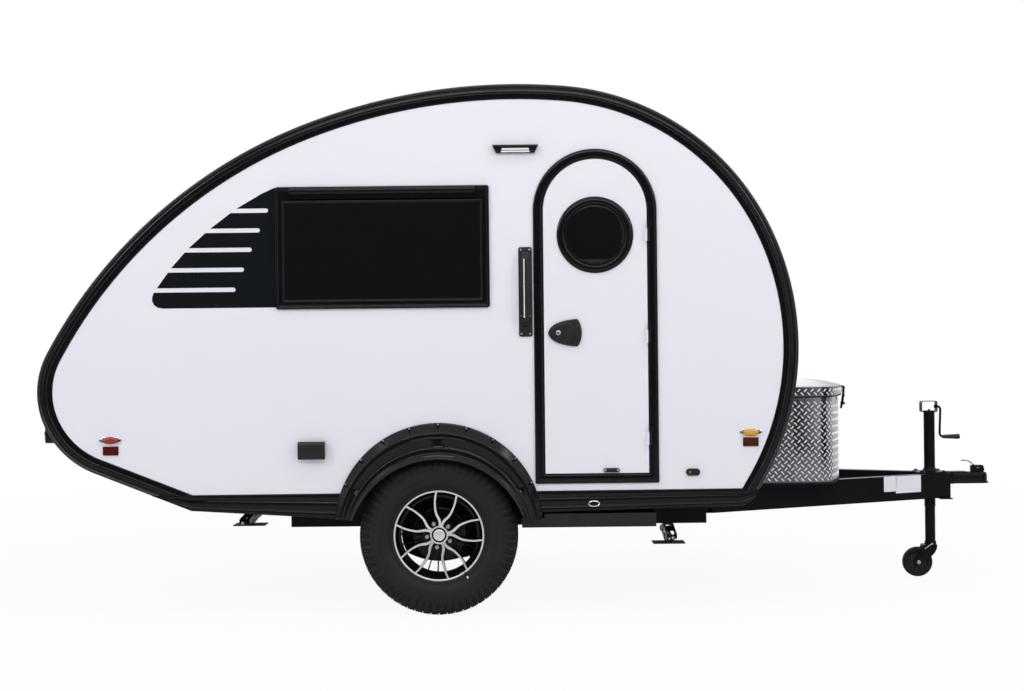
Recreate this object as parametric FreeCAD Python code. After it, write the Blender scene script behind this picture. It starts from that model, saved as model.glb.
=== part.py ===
import FreeCAD, Part
import math
import os

# Teardrop travel trailer, in millimetres. +X is forward, +Z is up, the door side is -Y.
# The origin lies on the ground, below the middle of the overall length.

# Overall sizes
body_length = 3520
tongue_reach = 1182          # coupler's tip in front of the body
body_width = 2006
body_top = 2448
body_foot = 490.6            # height of the outline's rear foot
overall_length = body_length + tongue_reach
front_x = overall_length / 2
rear_x = -overall_length / 2
body_front_x = rear_x + body_length
side_y = body_width / 2

# Body shell
wall = 30                    # side panel thickness
skin = 25                    # roof, front and rear wall thickness
trim_width = 71
trim_proud = 5
trim_cover = 3               # trim thickness over the outer edge
trim_wrap = 48
panel_bottom = 563
floor_bottom = 547
floor_thickness = 50
skirt_thickness = 8
skirt_flange = 8

# Side outline, walked clockwise from the rear foot at its natural size.
# Columns: radius (0 is a straight), then its turn in degrees, or its length.
outline_heading = 158.3
outline_sections = [
    (0, 481), (419, 44.2), (381, 52.5), (2279, 40.9), (2732, 25.6),
    (1164, 58.1), (1270, 57.2), (0, 60), (100, 59.8)]
arc_steps = 24               # even, so that the middle mark halves an arc

# Axle and wheels
axle_x = body_front_x - 1670
tyre_radius = 366.5
tyre_width = 235
tyre_outer_y = side_y + 45
tyre_shoulder = 45
tyre_bulge = 40              # sidewall's widest band, above the rim's edge
rim_radius = 208
rim_seat = 190
rim_width = 178
rim_metal = 6
disc_thickness = 24
disc_setback = 42            # from the rim's outer edge to the face of the spokes
hub_radius = 78
hub_bore = 42
cap_height = 18
stud_circle = 114.3
nut_radius = 10
nut_length = 22
nut_count = 5
window_count = 10
drum_radius = 135
drum_depth = 62
drum_wall = 8
boss_radius = 45
bearing_clearance = 0.3
wheel_clearance = 15

# Wheel well and fender flare
well_radius = tyre_radius + 48.5
well_wall = 5
well_depth = 245
flare_centre_z = tyre_radius + 37.5
flare_radius = tyre_radius + 115.5
lip_centre_z = tyre_radius - 59.5
lip_radius = tyre_radius + 47.5
flare_depth = 85
flare_lip = 22
flare_wall = 6
flare_bevel = 0.55           # share of the depth that the bevel takes
flare_foot_z = body_foot - 42.6

# Door
door_x = body_front_x - 936
door_width = 572
door_bottom = 600
door_top = body_top - 303.5
door_band = 43
door_lap = 15                # frame flange over the side panel
frame_proud = 12
leaf_gap = 4
leaf_proud = 6
hinge_x = door_x + door_width / 2 - 39
hinge_out = 20               # hinge axis in front of the side panel
hinge_radius = 6
hinge_foot = (6, 16)         # a knuckle's foot, from the axis along the frame or the leaf
hinge_plate = 3
knuckle_gap = 0.5            # between the ends of two hinge knuckles
hinge_length = 90
hinge_low = door_bottom + 220
hinge_high = door_top - 384.5
hinge_heights = [hinge_low, (hinge_low + hinge_high) / 2, hinge_high]
porthole_z = door_top - 397.5
porthole_ring = 177
porthole_glass = 139
porthole_lining = 12
porthole_depth = 12
latch_x = door_x - door_width / 2 + 143
latch_z = porthole_z - 451
latch_size = (155, 126)
latch_depth = 14
latch_corner = 30

# Side windows
window_x = door_x - 982
window_z = body_top - 748.5
window_width = 988
window_height = 565
window_band = 57
window_corner = 20
pane_corner = 6
pane_thickness = 6
pane_sunk = 4                # pane's face behind the frame's face

# End windows and hatch: along-wall place is set by height of the centre
front_window_z = body_top - 758
front_window_size = (1250, 470)
rear_window_z = body_top - 808
rear_window_size = (1000, 430)
end_window_corner = 60
hatch_bottom = 800
hatch_top = 1130
hatch_width = 880
hatch_gap = 5
hatch_hinge_out = 3          # hinge axis outside the outline
hatch_hinge_rise = 8         # hinge axis above the hatch
hatch_hinge_radius = 5
hatch_knuckle = 60
hatch_strap = (50, 40)       # straps' reach above and below the hatch's top edge

# Roof vent
vent_x = axle_x + 171
vent_size = 400
vent_flange = 30
vent_base_height = 22
vent_base_root = 60          # base block's depth before the roof's curve trims it
vent_wall = 12
vent_lid_height = 45
vent_lid_gap = 6
vent_lid_inset = 6
vent_lid_wall = 8
vent_hinge_radius = 5
vent_hinge_reach = 10
vent_knuckles = (60, 40)     # half length of the lid's knuckle, length of each fixed one

# Fittings on the side walls. Columns: x, z, width, height, thickness
grab_handle = (door_x - door_width / 2 - 37.5, porthole_z - 260, 63, 414, 42)
porch_light = (door_x - 364, door_top + 2.5, 211, 42, 26)
power_inlet = (axle_x - 582, 765, 125, 80, 38)
holdback = (door_x + door_width / 2 + 155.5, 647, 65, 33, 30)
door_striker = (door_x + 66, 660, 76, 20, 8)
courtesy_light = (door_x - 17, 506, 55, 31, 8)
rear_marker = (rear_x + 338, 821, 111, 37, 20)
rear_reflector = (rear_x + 338, 772, 73, 42, 6)
front_marker = (body_front_x - 226, 829, 111, 37, 20)
front_reflector = (body_front_x - 226, 784, 73, 42, 6)
tail_lamp_size = (70, 150, 85)
tail_lamp_y = side_y - 153
tail_lamp_z = 848

# Chassis
rail_y = side_y - 303
rail_width = 51
rail_height = 168
rail_bottom = floor_bottom - rail_height
rail_rear_x = axle_x - 722
tongue_angle = 25
tongue_gap_y = 67            # half distance between the rails' near edges at tongue_neck_x
tongue_neck_x = front_x - 356
tongue_run = (rail_y - rail_width / 2 - tongue_gap_y) / math.tan(math.radians(tongue_angle))
tongue_meets_x = tongue_neck_x - tongue_run
rail_front_x = tongue_meets_x + 77.788
tube_wall = 4
cross_member_x = [rail_rear_x + 43, axle_x + 351, rail_front_x - 210]
cross_width = 50
cross_height = 90
rear_member_x = rail_rear_x - 207
rear_member_height = 95
tongue_height = 127
tongue_width = 51
tongue_rear_x = tongue_meets_x - 52.212
tongue_front_x = front_x - 214
axle_tube = 76
arm_length = 150
arm_thickness = 26
arm_gap = 10                 # between the tyre and the arm
arm_half = 34
spindle_radius = 20
spindle_reach = 30           # spindle's end, outward of the drum's face

# Coupler for a 50 mm ball
ball_radius = 25.4
ball_clearance = 0.4
coupler_height = 68
coupler_width = 92
coupler_nose = 46
coupler_z = 515
lever_half = 14

# Tongue jack
jack_x = front_x - 308
jack_tube_radius = 28.5
jack_tube_wall = 1.9
ram_clearance = 0.3
ram_radius = jack_tube_radius - jack_tube_wall - ram_clearance
jack_top = floor_bottom + 319
jack_tube_bottom = 369
jack_plate = (150, 150, 8)
jack_bracket = ((-45, 39), 59)   # the crank's strap: its ends along X, and its height
bracket_half = 24
bracket_wall = 4
ram_bottom = 170
ram_head_room = 200          # inside the tube above the ram
caster_radius = 78
caster_width = 44
caster_trail = 70
caster_axle_radius = 8
fork_inner = 27
fork_plate = 6
fork_gap = 0.3               # between the fork's crown and the ram
crank_radius = 6
crank_drop = 160
crank_reach = 95
grip_radius = 14

# Front tub
tub_back = body_front_x + 16
tub_side_end = tub_back + 209
tub_front = tub_back + 358
tub_half_width = 600
tub_corner = 110
tub_rear_corner = 30
tub_height = 427
tub_wall = 4
lid_lift = 2                 # lid's rim above the tub's edge
lid_rim = 47
lid_crown = 26
lid_gap = 2
lid_hinge_radius = 4
lid_hinge_rise = 36
lid_hinge_half = 500
lid_latch = (30, 60, 22)     # half width, drop below the rim, thickness
latch_y = 267                # each latch's distance from the middle

# Entry step
step_x = (axle_x + tyre_radius + 17.5, door_x + 270)
step_z = (398, 461)
# Behind the notch's x, the step stays below its height, to pass under the flare
step_notch = (axle_x + flare_radius + 7, flare_foot_z - 7)
step_depth = 240
step_tread = 17
step_edge = 14
step_skin = 8
step_inset = 20              # runners' outer faces, in from the step's ends
step_cheek = 5
runner_size = 24
runner_gap = 0.4

# Corner stabilizers: a four-bar scissor across the trailer, its pivots along X
link = 150
link_radius = 13
link_plate = 4
pivot_half = 16              # half distance between the two upper, or the two lower, pivots
pivot_radius = 5
pivot_clearance = 0.3
upper_cheek = 22             # cheek middle planes, out from the middle of the stabilizer
lower_cheek = 16
ear_plane = 11
screw_radius = 7
screw_extra = 60
screw_tail = 24
screw_block = 11
foot_size = (154, 110, 4)
foot_drop = 22               # lower pivots above the foot's underside
head_drop = 22
head_plate = (32, 42, 4)     # half length, half width, thickness
stabilizer_y = rail_y - 45
# Columns: name, x, side (-1 is the door side), head height, angle of the links at rest
stabilizers = [
    ("front_right", rail_front_x - 177, -1, rail_bottom, 11),
    ("front_left", rail_front_x - 177, 1, rail_bottom, 11),
    ("rear_right", rear_member_x, -1, floor_bottom - rear_member_height, 4.5),
    ("rear_left", rear_member_x, 1, floor_bottom - rear_member_height, 4.5)]

floor_top = floor_bottom + floor_thickness
inner_y = side_y - wall
rim_outer_y = tyre_outer_y - (tyre_width - rim_width) / 2
tyre_inner_y = tyre_outer_y - tyre_width
tub_bottom = floor_bottom
tongue_bottom = floor_bottom - tongue_height
axis_x = FreeCAD.Vector(1, 0, 0)
axis_y = FreeCAD.Vector(0, 1, 0)
axis_z = FreeCAD.Vector(0, 0, 1)


def vec(x, y, z):
    return FreeCAD.Vector(x, y, z)


def box(x, y, z):
    """A block from three (low, high) pairs."""
    return Part.makeBox(x[1] - x[0], y[1] - y[0], z[1] - z[0], vec(x[0], y[0], z[0]))


def rod(radius, start, end):
    """A round bar between two points."""
    return Part.makeCylinder(radius, (end - start).Length, start, end - start)


def pipe(outer, inner, start, end):
    return rod(outer, start, end).cut(rod(inner, start, end))


def polygon(points, plane_y):
    corners = [vec(x, plane_y, z) for x, z in points]
    return Part.Face(Part.makePolygon(corners + corners[:1]))


def slab(points, y):
    """A plate whose outline stands in XZ, between two y values."""
    return polygon(points, y[0]).extrude(vec(0, y[1] - y[0], 0))


def rounded(x, z, width, height, corner, y):
    """A rounded rectangle that stands in XZ, extruded between two y values."""
    block = box((x - width / 2, x + width / 2), y, (z - height / 2, z + height / 2))
    upright = [e for e in block.Edges if abs(e.tangentAt(e.FirstParameter).y) > 0.9]
    return block.makeFillet(min(corner, 0.499 * min(width, height)), upright)


def mirrored(shape):
    return shape.mirror(vec(0, 0, 0), axis_y)


def pair(shape):
    """The door-side shape with its opposite hand."""
    return Part.makeCompound(shape.Solids + mirrored(shape).Solids)


def fused(shapes):
    return shapes[0].multiFuse(shapes[1:]).removeSplitter()


def save(name, shape):
    Part.makeCompound(shape.Solids).exportStep("parts/" + name + ".step")
    print(name, len(shape.Solids), round(shape.Volume / 1e6, 2), "l", shape.isValid())


def outline_arcs():
    """The outline's sections as (start, middle, end), stretched to the body's length and height."""
    def ahead(angle):
        return vec(math.cos(math.radians(angle)), 0, math.sin(math.radians(angle)))

    here, heading, arcs, reach = vec(0, 0, 0), outline_heading, [], []
    for radius, amount in outline_sections:
        if radius:
            centre = here + ahead(heading - 90) * radius
            marks = [centre + ahead(heading - amount * k / arc_steps + 90) * radius
                     for k in range(arc_steps + 1)]
            heading -= amount
        else:
            marks = [here + ahead(heading) * amount * k / arc_steps for k in range(arc_steps + 1)]
        arcs.append((radius, marks[0], marks[arc_steps // 2], marks[-1]))
        reach += marks
        here = marks[-1]
    rear = min(p.x for p in reach)
    long_scale = body_length / (max(p.x for p in reach) - rear)
    tall_scale = (body_top - body_foot) / max(p.z for p in reach)

    def placed(p):
        return vec(rear_x + (p.x - rear) * long_scale, 0, body_foot + p.z * tall_scale)
    return [(radius, placed(a), placed(b), placed(c)) for radius, a, b, c in arcs]


outline = outline_arcs()
outline_start = outline[0][1]
outline_end = outline[-1][3]


def outline_wire():
    edges = []
    for radius, start, middle, end in outline:
        if radius:
            edges.append(Part.Arc(start, middle, end).toShape())
        else:
            edges.append(Part.LineSegment(start, end).toShape())
    skirt_rear = vec(axle_x - flare_radius + 20, 0, flare_foot_z)
    skirt_front = vec(axle_x + flare_radius, 0, flare_foot_z + 20)
    bottom = [outline_end, skirt_front, skirt_rear, outline_start]
    edges += [Part.LineSegment(a, b).toShape() for a, b in zip(bottom, bottom[1:])]
    return Part.Wire(edges)


body_wire = outline_wire()


def body_slab(inset, y):
    """The side outline, drawn in by inset, extruded between two y values."""
    wire = body_wire.makeOffset2D(-inset, 1) if inset else body_wire
    face = Part.Face(wire)
    face.translate(vec(0, y[0], 0))
    return face.extrude(vec(0, y[1] - y[0], 0))


def body_band(outset, inset, y):
    return body_slab(outset, y).cut(body_slab(inset, y))


def above(z):
    return box((rear_x - 500, front_x), (-2 * side_y, 2 * side_y), (z, body_top + 500))


def wall_point(z, end):
    """Where the outline passes height z, on the rear (-1) or front (1), with its outward normal."""
    cut = Part.makeLine(vec(rear_x - wall, 0, z), vec(front_x, 0, z))
    points = [v.Point for v in Part.Face(body_wire).common(cut).Vertexes]
    point = max(points, key=lambda p: p.x * end)
    edge = min(body_wire.Edges, key=lambda e: e.distToShape(Part.Vertex(point))[0])
    tangent = edge.tangentAt(edge.Curve.parameter(point))
    normal = tangent.cross(axis_y)
    if (normal.x * end) < 0:
        normal = normal * -1
    return point, normal


def wall_block(z, end, width, height, corner, depth):
    """A rounded block across the end wall at height z, along the wall's normal."""
    point, normal = wall_point(z, end)
    block = rounded(0, 0, height, width, corner, (-depth, depth))
    up = normal.cross(axis_y)
    turn = FreeCAD.Matrix(up.x, normal.x, 0, point.x, up.y, normal.y, 1, point.y,
                          up.z, normal.z, 0, point.z, 0, 0, 0, 1)
    return block.transformGeometry(turn) if turn.determinant() < 0 else block.transformShape(turn, True)


def arch(x, bottom, top, half, y):
    """A door outline with a half-round head."""
    spring = top - half
    sides = Part.makePolygon([vec(x - half, y[0], spring), vec(x - half, y[0], bottom),
                              vec(x + half, y[0], bottom), vec(x + half, y[0], spring)])
    head = Part.Arc(vec(x + half, y[0], spring), vec(x, y[0], top), vec(x - half, y[0], spring))
    face = Part.Face(Part.Wire(sides.Edges + [head.toShape()]))
    return face.extrude(vec(0, y[1] - y[0], 0))


def door_arch(inset, y):
    return arch(door_x, door_bottom + inset, door_top - inset, door_width / 2 - inset, y)


def wall_plate(fitting, corner):
    """A rounded plate on the door side wall, from a row of x, z, width, height and thickness."""
    x, z, width, height, depth = fitting
    return rounded(x, z, width, height, corner, (-side_y - depth, -side_y))


def end_windows():
    """The front and rear windows, as (height, end, width, height along the wall)."""
    return [(front_window_z, 1) + front_window_size, (rear_window_z, -1) + rear_window_size]


# Body shell

def side_panel():
    plate = body_slab(trim_cover, (-side_y, -inner_y)).common(above(panel_bottom))
    wheel_arch = rod(well_radius, vec(axle_x, -side_y, tyre_radius), vec(axle_x, -inner_y, tyre_radius))
    window = rounded(window_x, window_z, window_width - 2 * door_lap, window_height - 2 * door_lap,
                     pane_corner, (-side_y, -inner_y))
    return plate.cut(wheel_arch).cut(window)


def roof_shell():
    shell = body_band(trim_cover, trim_cover + skin, (-inner_y, inner_y)).common(above(floor_bottom))
    for z, end, width, height in end_windows():
        shell = shell.cut(wall_block(z, end, width - 2 * door_lap, height - 2 * door_lap,
                                     end_window_corner - door_lap, 60))
    bars = [hatch_knuckle_bar(y, hatch_top + hatch_strap[0]) for y in hatch_knuckle_places(1)]
    shell = fused([shell.cut(hatch_zone(0))] + bars)
    half = vent_size / 2 - vent_flange
    return shell.cut(box((vent_x - half, vent_x + half), (-half, half), (body_top - 200, body_top + 50)))


def hatch_zone(inset):
    half = hatch_width / 2 - inset
    return box((rear_x - 50, rear_x + 250), (-half, half), (hatch_bottom + inset, hatch_top - inset))


def floor_panel():
    deck = body_slab(trim_cover + skin, (-inner_y, inner_y))
    deck = deck.common(box((rear_x, front_x), (-inner_y, inner_y), (floor_bottom, floor_top)))
    pocket = rod(well_radius, vec(axle_x, -side_y, tyre_radius),
                 vec(axle_x, -inner_y + well_depth, tyre_radius))
    return deck.cut(pocket).cut(mirrored(pocket))


def edge_trim():
    face = body_band(0, trim_width, (-side_y - trim_proud, -side_y))
    lip = body_band(0, trim_cover, (-side_y, -side_y + trim_wrap))
    return fused([face.common(above(panel_bottom)), lip.common(above(panel_bottom))])


def side_skirt():
    below = box((rear_x, front_x), (-side_y, 0), (0, panel_bottom))
    plate = body_slab(0, (-side_y, -side_y + skirt_thickness)).common(below)
    flange = body_slab(trim_cover + skin, (-side_y, -inner_y))
    flange = flange.common(box((rear_x, front_x), (-side_y, -inner_y),
                               (panel_bottom - skirt_flange, panel_bottom)))
    opening = rod(flare_radius - 30, vec(axle_x, -side_y, flare_centre_z), vec(axle_x, 0, flare_centre_z))
    return fused([plate, flange]).cut(opening)


def flare_blank(grow, y):
    """The flare's crescent outline between two y values."""
    outer = rod(flare_radius - grow, vec(axle_x, y[0], flare_centre_z), vec(axle_x, y[1], flare_centre_z))
    return outer.common(above(flare_foot_z))


def fender_flare():
    outer_y = -side_y - flare_depth
    blank = flare_blank(0, (outer_y, -side_y))
    front_edges = [e for e in blank.Edges if e.Curve.TypeId == "Part::GeomCircle"
                   and e.BoundBox.YMax < outer_y + 1]
    blank = blank.makeChamfer(flare_bevel * flare_depth, front_edges)
    hollow = flare_blank(flare_wall + (1 - flare_bevel) * flare_depth, (outer_y + flare_lip, -side_y))
    mouth = rod(lip_radius, vec(axle_x, outer_y, lip_centre_z), vec(axle_x, -side_y, lip_centre_z))
    wheel = rod(tyre_radius + wheel_clearance, vec(axle_x, outer_y + flare_lip, tyre_radius),
                vec(axle_x, -side_y, tyre_radius))
    return blank.cut(hollow).cut(mouth).cut(wheel)


def wheel_well():
    depth = (-inner_y, -inner_y + well_depth)
    centre = vec(axle_x, depth[0], tyre_radius)
    far = vec(axle_x, depth[1], tyre_radius)
    drum = rod(well_radius, centre, far)
    hollow = rod(well_radius - well_wall, centre, far - axis_y * well_wall)
    return drum.cut(hollow).common(above(floor_bottom))


# Door

def door_frame():
    outer = (-side_y - frame_proud, -side_y)
    flange = door_arch(0, outer).cut(door_arch(door_band, outer))
    lining = door_arch(door_lap, (-side_y, -inner_y)).cut(door_arch(door_band, (-side_y, -inner_y)))
    knuckles = []
    for z in hinge_heights:
        knuckles.append(hinge_knuckle(z + hinge_length / 6 + knuckle_gap, z + hinge_length / 2, 1))
    return fused([flange, lining] + knuckles)


def hinge_knuckle(bottom, top, side):
    """A knuckle on the door's hinge axis, with the foot that carries it: 1 on the frame, -1 on the leaf."""
    axis = vec(hinge_x, -side_y - hinge_out, bottom)
    barrel = rod(hinge_radius, axis, axis + axis_z * (top - bottom))
    seat = frame_proud if side > 0 else leaf_proud
    ends = sorted((hinge_x, hinge_x + side * hinge_foot[1]))
    plate = box(ends, (axis.y - hinge_plate / 2, axis.y + hinge_plate / 2), (bottom, top))
    ends = sorted((hinge_x + side * hinge_foot[0], hinge_x + side * hinge_foot[1]))
    foot = box(ends, (axis.y, -side_y - seat), (bottom, top))
    return fused([barrel, plate, foot])


def door_leaf():
    leaf = door_arch(door_band + leaf_gap, (-side_y - leaf_proud, -inner_y))
    eye = rod(porthole_glass + porthole_lining, vec(door_x, -side_y - wall, porthole_z),
              vec(door_x, 0, porthole_z))
    knuckles = [hinge_knuckle(z - hinge_length / 2, z + hinge_length / 6, -1) for z in hinge_heights]
    return fused([leaf.cut(eye)] + knuckles)


def door_porthole():
    outer_y = -side_y - leaf_proud

    def at(y):
        return vec(door_x, y, porthole_z)

    ring = pipe(porthole_ring, porthole_glass, at(outer_y - porthole_depth), at(outer_y))
    lining = pipe(porthole_glass + porthole_lining, porthole_glass, at(outer_y), at(-inner_y))
    pane = rod(porthole_glass, at(outer_y + pane_sunk), at(outer_y + pane_sunk + pane_thickness))
    return fused([ring, lining, pane])


def door_latch():
    outer_y = side_y + leaf_proud
    width, height = latch_size
    body = rounded(latch_x, latch_z, width, height, latch_corner, (-outer_y - latch_depth, -outer_y))
    x, z, width, height, depth = door_striker
    striker = rounded(x, z, width, height, height / 3, (-outer_y - depth, -outer_y))
    return Part.makeCompound([body, striker])


# Windows

def window_frames():
    outer = (-side_y - frame_proud, -side_y)
    lining = (-side_y, -inner_y)
    flange = rounded(window_x, window_z, window_width, window_height, window_corner, outer)
    sleeve = rounded(window_x, window_z, window_width - 2 * door_lap, window_height - 2 * door_lap,
                     pane_corner, lining)
    glass = rounded(window_x, window_z, window_width - 2 * window_band, window_height - 2 * window_band,
                    pane_corner, (outer[0], lining[1]))
    frames = pair(fused([flange, sleeve]).cut(glass)).Solids
    for z, end, width, height in end_windows():
        reach = (-width / 2, width / 2)
        cover = body_slab(-frame_proud, reach).cut(body_slab(trim_cover, reach))
        cover = cover.common(wall_block(z, end, width, height, end_window_corner, 90))
        inner = wall_block(z, end, width - 2 * window_band, height - 2 * window_band,
                           end_window_corner - door_lap, 90)
        sleeve = body_band(trim_cover, trim_cover + skin, reach).common(
            wall_block(z, end, width - 2 * door_lap, height - 2 * door_lap,
                       end_window_corner - door_lap, 60))
        frames += fused([cover, sleeve]).cut(inner).Solids
    return Part.makeCompound(frames)


def window_panes():
    outer = -side_y - frame_proud + pane_sunk
    pane = rounded(window_x, window_z, window_width - 2 * window_band, window_height - 2 * window_band,
                   pane_corner, (outer, outer + pane_thickness))
    panes = pair(pane).Solids
    for z, end, width, height in end_windows():
        reach = (-width / 2, width / 2)
        sheet = body_slab(0, reach).cut(body_slab(pane_thickness, reach))
        panes += sheet.common(wall_block(z, end, width - 2 * window_band, height - 2 * window_band,
                                         end_window_corner - door_lap, 90)).Solids
    return Part.makeCompound(panes)


# Rear hatch and roof vent

def hatch_hinge():
    """The hatch's hinge axis, just outside the rear wall above the hatch."""
    point, normal = wall_point(hatch_top + hatch_hinge_rise, -1)
    return point + normal * hatch_hinge_out


def hatch_knuckle_bar(y, foot_z):
    """A knuckle of the hatch's hinge with a strap along the wall to height foot_z."""
    axis = hatch_hinge()
    point, normal = wall_point(foot_z, -1)
    foot = point + normal * hatch_hinge_out
    strap = slab([(axis.x, axis.z), (axis.x + 4, axis.z), (foot.x + 8, foot.z), (foot.x, foot.z)],
                 (y, y + hatch_knuckle))
    barrel = rod(hatch_hinge_radius, axis + axis_y * y, axis + axis_y * (y + hatch_knuckle))
    return fused([barrel, strap])


def rear_hatch():
    half = hatch_width / 2 - hatch_gap
    leaf = body_band(trim_cover, trim_cover + skin, (-half, half)).common(hatch_zone(hatch_gap))
    bars = [hatch_knuckle_bar(y, hatch_top - hatch_strap[1]) for y in hatch_knuckle_places(0)]
    return fused([leaf] + bars)


def hatch_knuckle_places(step):
    """Left ends of the hatch's knuckles (step 0), or of the fixed ones beside them (step 1)."""
    shift = step * (hatch_knuckle + knuckle_gap)
    return [side * hatch_width / 3 - hatch_knuckle / 2 + shift for side in (-1, 1)]


def vent_knuckle(y, on_lid):
    """A knuckle of the vent's hinge, with the block that joins it to the base or the lid."""
    axis = vent_hinge()
    barrel = rod(vent_hinge_radius, axis + axis_y * y[0], axis + axis_y * y[1])
    half = vent_size / 2
    if on_lid:
        block = box((vent_x + half - 20, axis.x), y, (axis.z - 1, axis.z + 4))
    else:
        block = box((vent_x + half, axis.x + 4), y, (body_top - 12, axis.z))
    return fused([barrel, block])


def vent_hinge():
    return vec(vent_x + vent_size / 2 + vent_hinge_reach, 0, body_top + vent_base_height + vent_lid_gap + 1)


def roof_vent_base():
    half = vent_size / 2
    root = body_top - vent_base_root
    base = box((vent_x - half, vent_x + half), (-half, half), (root, body_top + vent_base_height))
    lid_half, length = vent_knuckles
    start = lid_half + knuckle_gap
    knuckles = [vent_knuckle((y, y + length), False) for y in (start, -start - length)]
    base = fused([base] + knuckles).cut(body_slab(trim_cover, (-half, half)))
    collar = half - vent_flange
    neck = box((vent_x - collar, vent_x + collar), (-collar, collar), (root, body_top))
    hole = collar - vent_wall
    duct = box((vent_x - hole, vent_x + hole), (-hole, hole), (body_top - 100, body_top + 100))
    return fused([base, neck]).cut(duct)


def roof_vent_lid():
    half = vent_size / 2 - vent_lid_inset
    bottom = body_top + vent_base_height + vent_lid_gap
    top = bottom + vent_lid_height
    lid = box((vent_x - half, vent_x + half), (-half, half), (bottom, top))
    lid = lid.makeFillet(0.4 * vent_lid_height, [e for e in lid.Edges if e.BoundBox.ZMin > top - 1
                                                 or abs(e.tangentAt(e.FirstParameter).z) > 0.9])
    hole = half - vent_lid_wall
    inside = box((vent_x - hole, vent_x + hole), (-hole, hole), (bottom, top - vent_lid_wall))
    lid_half = vent_knuckles[0]
    return fused([lid, vent_knuckle((-lid_half, lid_half), True)]).cut(inside)


# Lamps and fittings

def marker_lamps():
    lamps = [wall_plate(courtesy_light, courtesy_light[3] / 2)]
    for marker, reflector in ((rear_marker, rear_reflector), (front_marker, front_reflector)):
        lamps += [wall_plate(marker, marker[3] / 2), wall_plate(reflector, 3)]
    return pair(Part.makeCompound(lamps))


def tail_lamps():
    depth, width, height = tail_lamp_size
    point = wall_point(tail_lamp_z, -1)[0]
    lamp = box((rear_x, point.x + depth), (-tail_lamp_y - width / 2, -tail_lamp_y + width / 2),
               (tail_lamp_z - height / 2, tail_lamp_z + height / 2))
    return pair(lamp.cut(body_slab(trim_cover, (-side_y, 0))))


def wall_fittings():
    x, z, width, height, depth = grab_handle
    handle = wall_plate(grab_handle, 25)
    opening = rounded(x, z, 2 * width, height - 110, 20, (-side_y - depth + 14, -side_y - 8))
    x, z, width, height, depth = porch_light
    porch = slab([(x - width / 2, z - height / 2), (x + width / 2, z - height / 2),
                  (x + width / 2 - 20, z + height / 2), (x - width / 2 + 20, z + height / 2)],
                 (-side_y - depth, -side_y))
    return Part.makeCompound([handle.cut(opening), porch, wall_plate(power_inlet, 12),
                              wall_plate(holdback, holdback[3] / 2)])


# Chassis

def stabilizer_pivots(head_z, angle):
    """Heights of the upper, side and lower pivots, and how far the side pivots stand out."""
    upper = head_z - head_drop
    return upper, upper - link * math.sin(math.radians(angle)), \
        upper - 2 * link * math.sin(math.radians(angle)), pivot_half + link * math.cos(math.radians(angle))


def stabilizer_head(x, side, head_z):
    """Ears and pins that carry the two upper links."""
    y0 = side * stabilizer_y
    length, width, thick = head_plate
    parts = [box((x - length, x + length), (y0 - width, y0 + width), (head_z - thick, head_z))]
    for end in (-1, 1):
        at = x + end * lower_cheek
        parts.append(box((at - link_plate / 2, at + link_plate / 2), (y0 - 26, y0 + 26),
                         (head_z - head_drop - 8, head_z)))
    for hand in (-1, 1):
        pivot = vec(x, y0 + hand * pivot_half, head_z - head_drop)
        parts += stub_pins(pivot, lower_cheek, upper_cheek)
    return fused(parts)


def stub_pins(pivot, ear, cheek):
    """A pair of short pins that stand out from two ears and carry two cheeks."""
    near, far = ear - link_plate / 2, cheek + link_plate / 2 + 2
    return [rod(pivot_radius, pivot + axis_x * (end * near), pivot + axis_x * (end * far))
            for end in (-1, 1)]


def tube(x, y, z):
    """A box section with its long way along the largest side."""
    outer = box(x, y, z)
    sizes = [x[1] - x[0], y[1] - y[0], z[1] - z[0]]
    way = sizes.index(max(sizes))
    inner = [(a + tube_wall, b - tube_wall) if k != way else (a, b)
             for k, (a, b) in enumerate((x, y, z))]
    return outer.cut(box(*inner))


def chassis_frame():
    rail = tube((rail_rear_x, rail_front_x), (-rail_y - rail_width / 2, -rail_y + rail_width / 2),
                (rail_bottom, floor_bottom))
    parts = pair(rail).Solids
    span = rail_y - rail_width / 2
    half = cross_width / 2
    for x in cross_member_x:
        parts.append(tube((x - half, x + half), (-span, span), (floor_bottom - cross_height, floor_bottom)))
    parts.append(tube((rear_member_x - half, rear_member_x + half), (-rail_y - 60, rail_y + 60),
                      (floor_bottom - rear_member_height, floor_bottom)))
    for side in (-1, 1):
        y0 = side * rail_y
        parts.append(box((rear_member_x, rail_rear_x), (y0 - 20, y0 + 20),
                         (floor_bottom - 50, floor_bottom)))
        parts.append(slab([(rail_front_x - 60, rail_bottom), (rail_front_x + 80, floor_bottom - 60),
                           (rail_front_x + 80, floor_bottom), (rail_front_x - 60, floor_bottom)],
                          (y0 - tube_wall, y0 + tube_wall)))
    for row in stabilizers:
        parts.append(stabilizer_head(row[1], row[2], row[3]))
    parts += [step_runner(x) for x in step_runners()]
    return fused(parts)


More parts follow.
